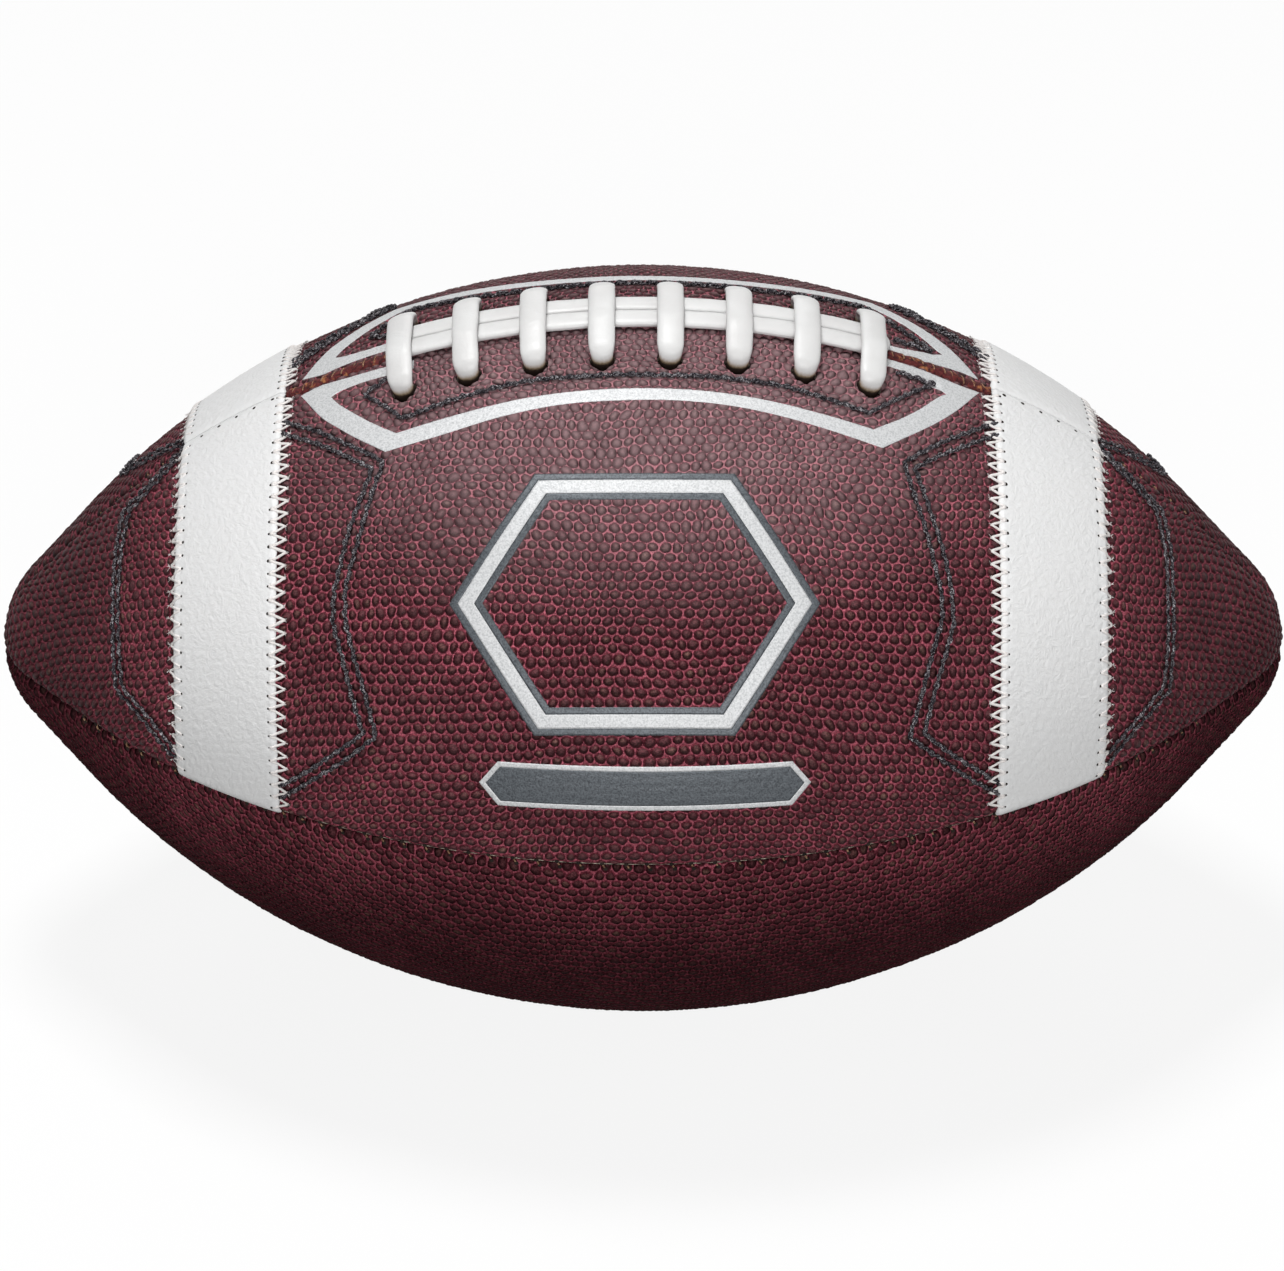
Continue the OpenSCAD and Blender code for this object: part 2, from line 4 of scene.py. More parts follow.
import bpy
import numpy as np
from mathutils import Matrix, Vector


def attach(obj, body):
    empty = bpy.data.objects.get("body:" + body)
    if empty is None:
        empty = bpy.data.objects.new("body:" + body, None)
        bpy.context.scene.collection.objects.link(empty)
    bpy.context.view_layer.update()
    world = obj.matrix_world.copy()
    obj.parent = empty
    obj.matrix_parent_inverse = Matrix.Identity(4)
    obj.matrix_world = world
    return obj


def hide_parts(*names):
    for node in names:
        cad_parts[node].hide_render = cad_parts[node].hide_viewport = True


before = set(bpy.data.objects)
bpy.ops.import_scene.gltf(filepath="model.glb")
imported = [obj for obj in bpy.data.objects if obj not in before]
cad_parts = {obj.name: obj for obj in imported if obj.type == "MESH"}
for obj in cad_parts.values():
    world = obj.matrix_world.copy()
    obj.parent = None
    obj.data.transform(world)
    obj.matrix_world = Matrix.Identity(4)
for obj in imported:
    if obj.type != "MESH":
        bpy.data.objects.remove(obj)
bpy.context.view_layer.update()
print("CAD parts loaded:", len(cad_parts))

dice = np.random.default_rng(41)
degree = math.pi / 180
ballMiddle = (0.0, 0.0, 0.084)

studio = {
    "elevation": 35.5,  # degrees above the floor, square to the long side
    "distance": 1.05,  # metres from the middle of the ball
    "lens": 130.7,
    "shift": (-0.00093, 0.00171),
    "clip": (0.05, 30),
    "floorSize": 7.0,
    "floorPaper": 0.9,
    "floorBounce": 0.06,
    "floorGlow": 0.86,
    "worldLight": 0.06,
}
softboxes = {  # place, size and power
    "topSoftbox": ((-0.12, 0.10, 1.32), 0.30, 12.0),
    "frontSoftbox": ((0.08, -1.50, 0.62), 0.90, 19.2),
    "rightSoftbox": ((1.15, -0.45, 0.75), 0.60, 1.6),
    "leftSoftbox": ((-1.15, -0.45, 0.75), 0.60, 0.9),
    "backSoftbox": ((0.0, 1.10, 0.85), 0.70, 3.0),
}


def addToScene(name, data):
    thing = bpy.data.objects.new(name, data)
    bpy.context.scene.collection.objects.link(thing)
    return thing


def aimAtBall(thing):
    direction = Vector(ballMiddle) - thing.location
    thing.rotation_euler = direction.to_track_quat("-Z", "Y").to_euler()


def setUpCamera():
    tilt = studio["elevation"] * degree
    data = bpy.data.cameras.new("photoCamera")
    data.lens = studio["lens"]
    data.shift_x, data.shift_y = studio["shift"]
    data.clip_start, data.clip_end = studio["clip"]
    camera = addToScene("photoCamera", data)
    away = Vector((0, -math.cos(tilt), math.sin(tilt)))
    camera.location = Vector(ballMiddle) + studio["distance"] * away
    aimAtBall(camera)
    bpy.context.scene.camera = camera


def setUpLamps():
    for name, (place, size, power) in softboxes.items():
        data = bpy.data.lights.new(name, "AREA")
        data.shape = "SQUARE"
        data.size = size
        data.energy = power
        lamp = addToScene(name, data)
        lamp.location = place
        aimAtBall(lamp)


def plug(tree, socket, value):
    # a link, a number or vector, or a colour without its alpha
    if isinstance(value, bpy.types.NodeSocket):
        tree.links.new(value, socket)
    elif isinstance(value, tuple) and len(value) < len(socket.default_value):
        socket.default_value = value + (1,)
    else:
        socket.default_value = value


def addNode(tree, kind, inputs=None, **settings):
    node = tree.nodes.new(kind)
    for key, value in settings.items():
        setattr(node, key, value)
    for key, value in (inputs or {}).items():
        plug(tree, node.inputs[key], value)
    return node


def mathNode(tree, operation, first, second=0.0, clamp=False):
    return addNode(tree, "ShaderNodeMath", {0: first, 1: second},
                   operation=operation, use_clamp=clamp).outputs[0]


def product(tree, first, *others):
    for other in others:
        first = mathNode(tree, "MULTIPLY", first, other)
    return first


def straying(tree, pattern, reach):
    # a noise pattern, centred on nothing
    return product(tree, mathNode(tree, "SUBTRACT", pattern, 0.5), reach)


def vectorNode(tree, operation, first, second=(0, 0, 0), output=0):
    return addNode(tree, "ShaderNodeVectorMath", {0: first, 1: second},
                   operation=operation).outputs[output]


def rampNode(tree, value, low, high, first=0.0, last=1.0):
    return addNode(tree, "ShaderNodeMapRange", {
        "Value": value, "From Min": low, "From Max": high, "To Min": first, "To Max": last},
        interpolation_type="SMOOTHSTEP").outputs[0]


def mixColour(tree, factor, first, second, blend="MIX"):
    return addNode(tree, "ShaderNodeMix", {0: factor, 6: first, 7: second},
                   data_type="RGBA", blend_type=blend).outputs[2]


def shownToLens(tree):
    # 1 for the rays that see the backdrop itself: camera, mirror and glass rays
    path = addNode(tree, "ShaderNodeLightPath")
    seen = mathNode(tree, "MAXIMUM", path.outputs["Is Camera Ray"], path.outputs["Is Glossy Ray"])
    return mathNode(tree, "MAXIMUM", seen, path.outputs["Is Transmission Ray"])


def mixShader(tree, factor, first, second):
    return addNode(tree, "ShaderNodeMixShader",
                   {0: factor, 1: first.outputs[0], 2: second.outputs[0]})


def setUpWorld():
    world = bpy.data.worlds.new("studioWorld")
    bpy.context.scene.world = world
    world.use_nodes = True
    tree = world.node_tree
    tree.nodes.clear()
    lit, shown = (addNode(tree, "ShaderNodeBackground", {"Color": (1, 1, 1), "Strength": strength})
                  for strength in (studio["worldLight"], 1.0))
    mix = mixShader(tree, shownToLens(tree), lit, shown)
    addNode(tree, "ShaderNodeOutputWorld", {0: mix.outputs[0]})


def newMaterial(name):
    material = bpy.data.materials.new(name)
    material.use_nodes = True
    material.node_tree.nodes.clear()
    return material, material.node_tree


def setUpFloor():
    half = studio["floorSize"] / 2
    mesh = bpy.data.meshes.new("studioFloor")
    corners = [(-half, -half, 0), (half, -half, 0), (half, half, 0), (-half, half, 0)]
    mesh.from_pydata(corners, [], [(0, 1, 2, 3)])
    floor = addToScene("studioFloor", mesh)
    paper, tree = newMaterial("floorPaper")
    bounce = addNode(tree, "ShaderNodeBsdfDiffuse", {"Color": (studio["floorBounce"],) * 3})
    sheet = addNode(tree, "ShaderNodeBsdfDiffuse", {"Color": (studio["floorPaper"],) * 3})
    glow = addNode(tree, "ShaderNodeEmission", {"Strength": 1.0})
    shown = mixShader(tree, studio["floorGlow"], sheet, glow)
    mix = mixShader(tree, shownToLens(tree), bounce, shown)
    addNode(tree, "ShaderNodeOutputMaterial", {0: mix.outputs[0]})
    mesh.materials.append(paper)


setUpCamera()
setUpLamps()
setUpWorld()
setUpFloor()
bpy.context.scene.view_settings.view_transform = "Standard"
print("studio ready")

# the ball's outline in millimetres: one long bow, a short straight and a round nose
ball = {"length": 288.0, "diameter": 168.0, "noseRadius": 24.5, "noseSlope": 46.5 * degree}
noseRadius, noseSlope, halfWidth = ball["noseRadius"], ball["noseSlope"], ball["diameter"] / 2
slopeSin, slopeCos = math.sin(noseSlope), math.cos(noseSlope)
noseCentre = ball["length"] / 2 - noseRadius
bodyRadius = (noseCentre * slopeSin + noseRadius - halfWidth * slopeCos) / (1 - slopeCos)
bodyOffset = bodyRadius - halfWidth
straightLength = noseCentre * slopeCos - bodyOffset * slopeSin
bowEnd = bodyRadius * noseSlope
noseStart = bowEnd + straightLength


def outlineAt(along):
    # x, radius and outward direction at a distance along the leather from the middle
    away = np.abs(along)
    sign = np.where(along < 0, -1.0, 1.0)
    lean = np.minimum(away, bowEnd) / bodyRadius
    straight = np.clip(away - bowEnd, 0, straightLength)
    turn = noseSlope + np.clip((away - noseStart) / noseRadius, 0, math.pi / 2 - noseSlope)
    x = bodyRadius * np.sin(lean) + straight * slopeCos
    x = x + noseRadius * (np.sin(turn) - slopeSin)
    r = bodyRadius * np.cos(lean) - bodyOffset - straight * slopeSin
    r = r + noseRadius * (np.cos(turn) - slopeCos)
    lean = np.where(away > noseStart, turn, lean)
    return sign * x, r, sign * np.sin(lean), np.cos(lean)


def radiusAt(along):
    return outlineAt(along)[1]


def onBall(along, side, height=0.0):
    # side is the angle from the lace seam, positive to the front
    x, r, outX, outR = outlineAt(along)
    reach = r + height * outR
    return np.stack([x + height * outX + 0 * side, -np.sin(side) * reach, np.cos(side) * reach], -1)


def outwardAt(along, side):
    outX, outR = outlineAt(along)[2:]
    return np.stack([outX + 0 * side, -np.sin(side) * outR, np.cos(side) * outR], -1)


def placeOf(points):
    # distance along and side angle of points that lie near the leather
    x, r = np.abs(points[:, 0]), np.hypot(points[:, 1], points[:, 2])
    bow = np.arctan2(x, r + bodyOffset)
    slope = ((x - bodyRadius * slopeSin) * slopeCos
             - (r - bodyRadius * slopeCos + bodyOffset) * slopeSin)
    nose = noseStart + noseRadius * (np.arctan2(x - noseCentre, r) - noseSlope)
    along = np.where(bow < noseSlope, bow * bodyRadius, bowEnd + slope)
    along = np.where((bow >= noseSlope) & (slope > straightLength), nose, along)
    return np.where(points[:, 0] < 0, -along, along), np.arctan2(-points[:, 1], points[:, 2])


def unit(vectors):
    return vectors / np.maximum(np.linalg.norm(vectors, axis=-1, keepdims=True), 1e-12)


def smooth(low, high, value):
    share = np.clip((value - low) / (high - low), 0, 1)
    return share * share * (3 - 2 * share)


def bell(distance, reach):
    return np.exp(-(distance / reach) ** 2)


def pieceName(kind, place):
    # the name of a piece at a place that is called as in the CAD nodes
    return kind + place.title().replace("_", "")


def toMetres(points):
    # from mm about the middle of the ball to metres over the floor
    return ((np.asarray(points, float) + np.array([0, 0, halfWidth])) / 1000).tolist()


def smoothFaces(mesh):
    mesh.polygons.foreach_set("use_smooth", [True] * len(mesh.polygons))


def addPiece(name, points, faces, material, stands=()):
    mesh = bpy.data.meshes.new(name)
    mesh.from_pydata(toMetres(points), [], faces)
    mesh.materials.append(material)
    smoothFaces(mesh)
    piece = addToScene(name, mesh)
    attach(piece, "root")
    if stands:
        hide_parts(*stands)
    return piece


def gridFaces(rows, columns, start=0, closed=False):
    spans = columns if closed else columns - 1
    i, k = np.meshgrid(np.arange(rows - 1), np.arange(spans), indexing="ij")
    a, b = start + i * columns + k, start + i * columns + (k + 1) % columns
    return np.stack([a, b, b + columns, a + columns], -1).reshape(-1, 4)


def slabFaces(rows, columns):
    # an upper and a lower grid of points, and the walls between their rims
    count = rows * columns
    faces = gridFaces(rows, columns)[:, ::-1].tolist() + gridFaces(rows, columns, count).tolist()
    rim = list(range(columns)) + [i * columns + columns - 1 for i in range(1, rows)]
    rim += [(rows - 1) * columns + k for k in reversed(range(columns - 1))]
    rim += [i * columns for i in reversed(range(1, rows - 1))]
    return faces + [[a, b, b + count, a + count] for a, b in zip(rim, rim[1:] + rim[:1])]


def pointsOf(piece):
    flat = np.zeros(len(piece.data.vertices) * 3)
    piece.data.vertices.foreach_get("co", flat)
    return flat.reshape(-1, 3) * 1000 - np.array([0, 0, halfWidth])


def keepPlace(piece, values):
    # two numbers for each point, kept as a UV map that the patterns read in mm
    layer = piece.data.uv_layers.new(name="leatherPlace")
    corner = np.zeros(len(piece.data.loops), np.int32)
    piece.data.loops.foreach_get("vertex_index", corner)
    layer.data.foreach_set("uv", np.asarray(values, np.float32)[corner].ravel())


pebbleGrain = {
    "pitch": 2.42,  # mm from pebble to pebble
    "strays": ((3.2, 36.0), (0.50, 4.0)),  # mm that rows and pebbles wander, and over what length
    "uneven": (0.92, 1.10),
    "round": 0.48,  # radius of the dome, as a share of the pitch
    "worn": (0.43, 0.25),
    "depth": 0.54,  # mm from the top of a pebble down to the channels
    "rise": (0.7, 0.3),  # how high each pebble stands: for all, and by its own number
}


def pebbleNodes(tree, place):
    # place is in mm; gives the worn top of each pebble, its round dome and a number of its own
    pitch, rowShare = pebbleGrain["pitch"], math.sqrt(3)
    bent = place
    for reach, size in pebbleGrain["strays"]:
        stray = addNode(tree, "ShaderNodeTexNoise", {"Vector": place, "Scale": 1 / size, "Detail": 1.0},
                        noise_dimensions="2D").outputs["Color"]
        stray = vectorNode(tree, "SUBTRACT", stray, (0.5, 0.5, 0.5))
        bent = vectorNode(tree, "ADD", bent, vectorNode(tree, "MULTIPLY", stray, (2 * reach,) * 3))
    # two rectangular lattices, one in the gaps of the other, lay the pebbles out like packed coins
    found = []
    for shift in (0.0, 0.5):
        share = vectorNode(tree, "DIVIDE", bent, (pitch, pitch * rowShare, 1))
        share = vectorNode(tree, "ADD", share, (shift, shift, 0))
        cell = vectorNode(tree, "FLOOR", share)
        rest = vectorNode(tree, "SUBTRACT", share, cell)
        rest = vectorNode(tree, "SUBTRACT", rest, (0.5, 0.5, 0))
        rest = vectorNode(tree, "MULTIPLY", rest, (1, rowShare, 0))
        numbered = vectorNode(tree, "ADD", cell, (0, 0, shift + 1))
        pick = addNode(tree, "ShaderNodeTexWhiteNoise", {"Vector": numbered}, noise_dimensions="3D")
        found.append((vectorNode(tree, "LENGTH", rest, output=1), pick.outputs["Value"]))
    (first, firstPick), (second, secondPick) = found
    closer = mathNode(tree, "LESS_THAN", first, second)
    further = mathNode(tree, "SUBTRACT", 1.0, closer)
    pick = mathNode(tree, "ADD", product(tree, closer, firstPick),
                    product(tree, further, secondPick))
    apart = mathNode(tree, "MINIMUM", first, second)
    apart = product(tree, apart, rampNode(tree, pick, 0.0, 1.0, *pebbleGrain["uneven"]))
    share = mathNode(tree, "DIVIDE", apart, pebbleGrain["round"])
    dome = mathNode(tree, "SUBTRACT", 1.0, product(tree, share, share), clamp=True)
    return rampNode(tree, apart, *pebbleGrain["worn"]), mathNode(tree, "SQRT", dome), pick


def grainAt(places):
    # the same pattern worked out at a list of places, with geometry nodes
    mesh = bpy.data.meshes.new("grainProbe")
    mesh.vertices.add(len(places))
    spots = np.zeros((len(places), 3), np.float32)
    spots[:, :2] = places
    mesh.vertices.foreach_set("co", spots.ravel())
    probe = addToScene("grainProbe", mesh)
    tree = bpy.data.node_groups.new("grainProbe", "GeometryNodeTree")
    for way in ("INPUT", "OUTPUT"):
        tree.interface.new_socket("Geometry", in_out=way, socket_type="NodeSocketGeometry")
    flow, end = tree.nodes.new("NodeGroupInput").outputs[0], tree.nodes.new("NodeGroupOutput")
    dome, pick = pebbleNodes(tree, addNode(tree, "GeometryNodeInputPosition").outputs[0])[1:]
    for name, value in (("dome", dome), ("pick", pick)):
        flow = addNode(tree, "GeometryNodeStoreNamedAttribute",
                       {"Geometry": flow, "Name": name, "Value": value},
                       data_type="FLOAT", domain="POINT").outputs[0]
    tree.links.new(flow, end.inputs[0])
    probe.modifiers.new("grainProbe", "NODES").node_group = tree
    done = probe.evaluated_get(bpy.context.evaluated_depsgraph_get()).data
    found = []
    for name in ("dome", "pick"):
        values = np.zeros(len(places), np.float32)
        done.attributes[name].data.foreach_get("value", values)
        found.append(values.astype(float))
    bpy.data.objects.remove(probe)
    bpy.data.node_groups.remove(tree)
    bpy.data.meshes.remove(mesh)
    return found


# the four quarters of the ball, each from one seam to the next
quarters = {
    "front_top": (0, 90), "rear_top": (-90, 0), "front_bottom": (90, 180), "rear_bottom": (-180, -90),
}
ownMaps = 400  # mm between the pebble maps of two quarters


def grainPlace(along, side, quarter):
    low, high = quarters[quarter]
    across = (side - (low + high) / 2 * degree) * np.maximum(radiusAt(along), 0.5)
    return np.stack([along + 0 * across, across + ownMaps * list(quarters).index(quarter)], -1)


def spacedRun(given, step=0.5, count=None):
    # points step mm apart, or count of them, on a line of (mm along, degrees round)
    spots = onBall(given[:, 0], given[:, 1] * degree)
    ways = np.concatenate([[0], np.cumsum(np.linalg.norm(np.diff(spots, axis=0), axis=1))])
    count = count or max(2, int(round(ways[-1] / step)) + 1)
    at = np.linspace(0, ways[-1], count)
    return np.stack([np.interp(at, ways, given[:, 0]), np.interp(at, ways, given[:, 1])], -1)


def smoothRun(points, step=0.5):
    # a soft line through the points given
    given = np.array(points, float)
    if len(given) > 2:
        ends = np.vstack([2 * given[0] - given[1], given, 2 * given[-1] - given[-2]])
        share = np.linspace(0, 1, 24, endpoint=False)[:, None]
        runs = []
        for i in range(len(given) - 1):
            a, b, c, d = ends[i:i + 4]
            runs.append(0.5 * (2 * b + (c - a) * share + (2 * a - 5 * b + 4 * c - d) * share ** 2
                               + (3 * b - 3 * c + d - a) * share ** 3))
        given = np.vstack(runs + [given[-1:]])
    return spacedRun(given, step)


def mirrored(runs, across=1, along=1, shift=0.0):
    # the same runs on the other half of the ball
    return [[(along * s, across * (f - shift)) for s, f in run] for run in runs]


def fewer(line, every=6):
    # a line with only every sixth point and its corners
    line = np.asarray(line, float)
    way = unit(np.diff(line, axis=0) * [1.0, 1.3])
    keep = np.zeros(len(line), bool)
    keep[::every] = keep[-1] = True
    keep[1:-1] |= np.sum(way[1:] * way[:-1], axis=1) < 0.985
    return line[keep]


def inReach(along, round, line, reach):
    # which places lie in the box round a line
    (lowAlong, lowRound), (highAlong, highRound) = line.min(axis=0) - reach, line.max(axis=0) + reach
    return (along > lowAlong) & (along < highAlong) & (round > lowRound) & (round < highRound)


def distanceTo(along, side, line, far=99.0):
    # least distance in mm from each place to a line of (mm along, degrees round)
    found = np.full(len(along), far)
    near = inReach(along, side / degree, line, 3.0)
    s, f, radius = along[near], side[near] / degree, radiusAt(along)[near] * degree
    best = np.full(len(s), far)
    for (s1, f1), (s2, f2) in zip(line[:-1], line[1:]):
        dx, dy = s2 - s1, (f2 - f1) * radius
        px, py = s - s1, (f - f1) * radius
        share = np.clip((px * dx + py * dy) / np.maximum(dx * dx + dy * dy, 1e-9), 0, 1)
        best = np.minimum(best, np.hypot(px - share * dx, py - share * dy))
    found[near] = best
    return found


def insideOf(along, side, ring):
    # which places lie inside a closed outline of (mm along, degrees round)
    inside = np.zeros(len(along), bool)
    near = inReach(along, side / degree, ring, 0.0)
    s, f = along[near], side[near] / degree
    odd = np.zeros(len(s), bool)
    for (s1, f1), (s2, f2) in zip(ring, np.roll(ring, -1, axis=0)):
        if f1 != f2:
            odd ^= ((f1 > f) != (f2 > f)) & (s < (s2 - s1) * (f - f1) / (f2 - f1) + s1)
    inside[near] = odd
    return inside


# the silver bands round the lacing: outer and inner edge, run by run from corner to corner
bandFoil = {
    "outer": [
        [(-50.0, 3.3), (-62.4, 3.1), (-67.1, 2.9), (-72.0, 2.6), (-76.6, 3.4)],
        [(-76.6, 3.4), (-71.4, 11.2), (-66.3, 15.9), (-61.5, 19.4), (-55.6, 22.9)],
        [(-55.6, 22.9), (-43.4, 21.5), (-30.4, 19.5), (-17.6, 18.2), (-4.9, 17.8), (7.8, 17.8),
         (20.5, 18.5), (33.3, 20.0), (51.4, 22.8)],
        [(51.4, 22.8), (55.4, 20.6), (60.1, 17.8), (64.9, 14.4), (69.9, 9.7), (75.2, 2.9)],
        [(75.2, 2.9), (71.0, 3.0), (65.6, 2.6), (61.0, 2.1), (51.0, 1.9)],
    ],
    "inner": [
        [(-50.0, 5.5), (-57.6, 5.6), (-62.2, 5.7), (-66.9, 6.2), (-69.0, 7.1)],
        [(-69.0, 7.1), (-66.7, 10.0), (-61.7, 14.3), (-57.0, 17.5), (-53.2, 19.6)],
        [(-53.2, 19.6), (-39.1, 17.9), (-26.1, 16.5), (-13.4, 15.8), (-0.7, 15.6), (12.0, 15.8),
         (24.8, 16.6), (37.7, 18.0), (49.5, 19.5)],
        [(49.5, 19.5), (55.6, 16.2), (60.3, 12.9), (65.3, 8.2), (67.0, 7.0)],
        [(67.0, 7.0), (65.4, 6.3), (60.8, 4.9), (56.3, 4.0), (51.0, 3.9)],
    ],
    "rearShift": 1.3,
    "step": 0.4,
}

# a plain six-sided badge and a slim bar, in mm about their middles on the front panel
badgeFoil = {
    "middle": (-1.8, 49.4),
    "corners": [(-39, 0), (-21, -28), (21, -28), (39, 0), (21, 28), (-21, 28)],
    "line": 3.0,
    "trim": 1.5,
}
barFoil = {
    "middle": (0.4, 76.6),
    "corners": [(-35, 0), (-31, -5), (31, -5), (35, 0), (31, 5), (-31, 5)],
    "line": 1.1,
    "half": 5.0,
}


def insetCorners(corners, inset):
    # the corners of an outline moved inwards, with even sides
    shape = np.array(corners, float)
    before, after = np.roll(shape, 1, axis=0), np.roll(shape, -1, axis=0)
    wayIn, wayOut = unit(shape - before), unit(after - shape)
    middle = np.stack([-wayIn[:, 1] - wayOut[:, 1], wayIn[:, 0] + wayOut[:, 0]], -1)
    middle = 2 * middle / np.sum(middle * middle, axis=1, keepdims=True)
    return shape + middle * inset


def ringEdge(foil, inset, count=80):
    # the inset outline with the same number of points on each side, as (mm along, degrees round)
    corners = insetCorners(foil["corners"], inset)
    shape = np.vstack([corners, corners[:1]])
    runs = [np.linspace(a, b, count, endpoint=False) for a, b in zip(shape[:-1], shape[1:])]
    flat = np.vstack(runs + [shape[:1]])
    along = flat[:, 0] + foil["middle"][0]
    return np.stack([along, foil["middle"][1] + flat[:, 1] / (radiusAt(along) * degree)], -1)


def bandEdges(across):
    # both edges of one silver band, with the same number of points
    shift = bandFoil["rearShift"] if across < 0 else 0
    rims = [[], []]
    for runs in zip(*(mirrored(bandFoil[edge], across, 1, shift) for edge in ("outer", "inner"))):
        lines = [smoothRun(run, bandFoil["step"]) for run in runs]
        count = max(len(line) for line in lines)
        for rim, line in zip(rims, lines):
            rim.append(spacedRun(line, count=count)[:-1])
    return [np.vstack(rim + [line[-1:]]) for rim, line in zip(rims, lines)]


def outlineOf(outer, inner):
    ring = np.vstack([fewer(outer), fewer(inner)[::-1]])
    return np.vstack([ring, ring[:1]])


frontBand, rearBand = bandEdges(1), bandEdges(-1)
badgeSteps = [0, badgeFoil["trim"], badgeFoil["trim"] + badgeFoil["line"]]
badgeSteps.append(badgeSteps[-1] + badgeFoil["trim"])
badgeEdges = [ringEdge(badgeFoil, inset) for inset in badgeSteps]
barEdges = [ringEdge(barFoil, inset) for inset in (0, barFoil["line"], barFoil["half"])]
barRing = fewer(barEdges[0])
covered = {  # the outlines that press the pebbles flat
    "front_top": [outlineOf(*frontBand), outlineOf(badgeEdges[0], badgeEdges[-1]),
                 np.vstack([barRing, barRing[:1]])],
    "rear_top": [outlineOf(*rearBand)],
}

# sewn lines in charcoal thread on the front left; the other three quarters mirror them
charcoalSeams = {
    "centreOuter": [[(-80.6, 9.2), (-67.0, 18.0), (-56.0, 24.8)],
                    [(-56.0, 24.8), (-60.5, 36.0), (-64.1, 46.5)], [(-64.1, 46.5), (-64.2, 51.5)],
                    [(-64.2, 51.5), (-57.1, 70.7)], [(-57.1, 70.7), (-80.6, 86.0)]],
    "centreInner": [[(-80.6, 12.4), (-68.4, 19.8), (-58.5, 25.6)],
                    [(-58.5, 25.6), (-63.6, 37.0), (-66.6, 46.5)], [(-66.6, 46.5), (-66.9, 52.2)],
                    [(-66.9, 52.2), (-60.2, 70.4)], [(-60.2, 70.4), (-80.6, 83.6)]],
    "noseOuter": [[(-107.0, 0.4), (-124.4, 11.6)],
                  [(-124.4, 11.6), (-126.0, 27.0), (-126.2, 43.0), (-126.0, 58.0), (-125.2, 71.0)],
                  [(-125.2, 71.0), (-107.0, 86.4)]],
    "noseInner": [[(-107.0, 2.6), (-122.4, 13.2)],
                  [(-122.4, 13.2), (-124.2, 28.0), (-124.5, 43.0), (-124.2, 57.0), (-123.2, 69.6)],
                  [(-123.2, 69.6), (-107.0, 83.8)]],
}
laceSeamLine = [[(-56.0, 6.6), (-61.1, 9.2)], [(-61.1, 9.2), (-52.0, 16.7)],
                [(-52.0, 16.7), (-38.0, 14.5), (-25.2, 13.1), (-0.7, 12.9), (24.9, 13.2),
                 (38.0, 14.6), (48.8, 16.3)],
                [(48.8, 16.3), (56.8, 10.6), (64.3, 5.4)], [(64.3, 5.4), (55.5, 5.0)]]
# at the back the nose rows turn farther out
rearCorners = {"noseOuter": (-128.0, 17.5), "noseInner": (-126.4, 18.0)}


def sewnLines(across):
    # every charcoal line of the front (1) or the rear (-1)
    lines = []
    for along in (1, -1):
        for name, runs in charcoalSeams.items():
            if across < 0 and name in rearCorners:
                corner = [rearCorners[name]]
                runs = [runs[0] + corner, corner + runs[1][1:]] + runs[2:]
            lines.append(mirrored(runs, across, along))
    lines.append(mirrored(laceSeamLine, across))
    return [np.vstack([smoothRun(run) for run in runs]) for runs in lines]


charcoalLines = {"front_top": sewnLines(1), "rear_top": sewnLines(-1)}

lacing = {
    "shift": -1.5,  # mm, all lengths of the lacing
    "crossCount": 8, "holePitch": 14.5, "holeReach": 13.0, "holeBore": 5.8, "holePulled": 0.6,
    "holeNarrowed": 0.22, "cut": (-7.0, 3.0),
    "rimDip": 0.55, "rimReach": 1.7, "strandShift": 1.3,
    "width": 5.8, "strandWidth": 5.2, "strandSpread": 5.5, "squeezed": 5.0, "gathered": 4.7,
    "thick": 2.0, "gap": 0.5, "seat": 0.25, "runDepth": 5.45,
}
crossPlaces = [lacing["shift"] + lacing["holePitch"] * (i - (lacing["crossCount"] - 1) / 2)
               for i in range(lacing["crossCount"])]
strandPlace = (lacing["strandWidth"] + lacing["gap"]) / 2
strandEnd = crossPlaces[0] - lacing["thick"] / 3
seamTurn = {"width": 2.5, "depth": 1.4, "gap": 0.2}
seamStitches = {
    "pitch": 4.8, "end": 138, "openTo": 57,  # mm along the ball
    "radius": 0.20, "reach": 0.70, "reachSpread": (0.8, 1.1), "slant": 0.40, "slantSpread": (0.7, 1.1),
    "sink": 0.85, "bow": 0.35, "stray": (0.25, 0.06), "hole": 0.46, "holeLevel": -0.78,
}
turnRadius = (seamTurn["width"] ** 2 + seamTurn["depth"] ** 2) / (2 * seamTurn["depth"])
stripe = {
    "spans": {-1: (80.7, 107.5), 1: (78.3, 106.2)},  # mm along from the middle, left and right
    "top": 0.88, "under": -0.07, "topTurn": 0.34,
    "pebbles": 0.05, "pebbleShift": 57,
    "round": 0.7, "roundReach": 1.1, "roundPower": 2.4,
    "swell": 0.13, "swellReach": 0.9, "swellWave": 0.9, "swellWidth": 6,
    "dimple": 0.22, "dimpleReach": 0.6,
    "step": 0.42, "columns": 216, "rowPower": 0.9, "toSeams": 0.25, "seamGaps": (0.06, 0.12), "least": 0.25,
    "stitchPitch": 2.9, "endsFree": 3.4, "needleStray": 0.10, "tipStray": 0.14,
    "nearReach": (1.25, 2.25), "farReach": (2.3, 1.25),  # mm from the edge in to the needle, out to the tip
}
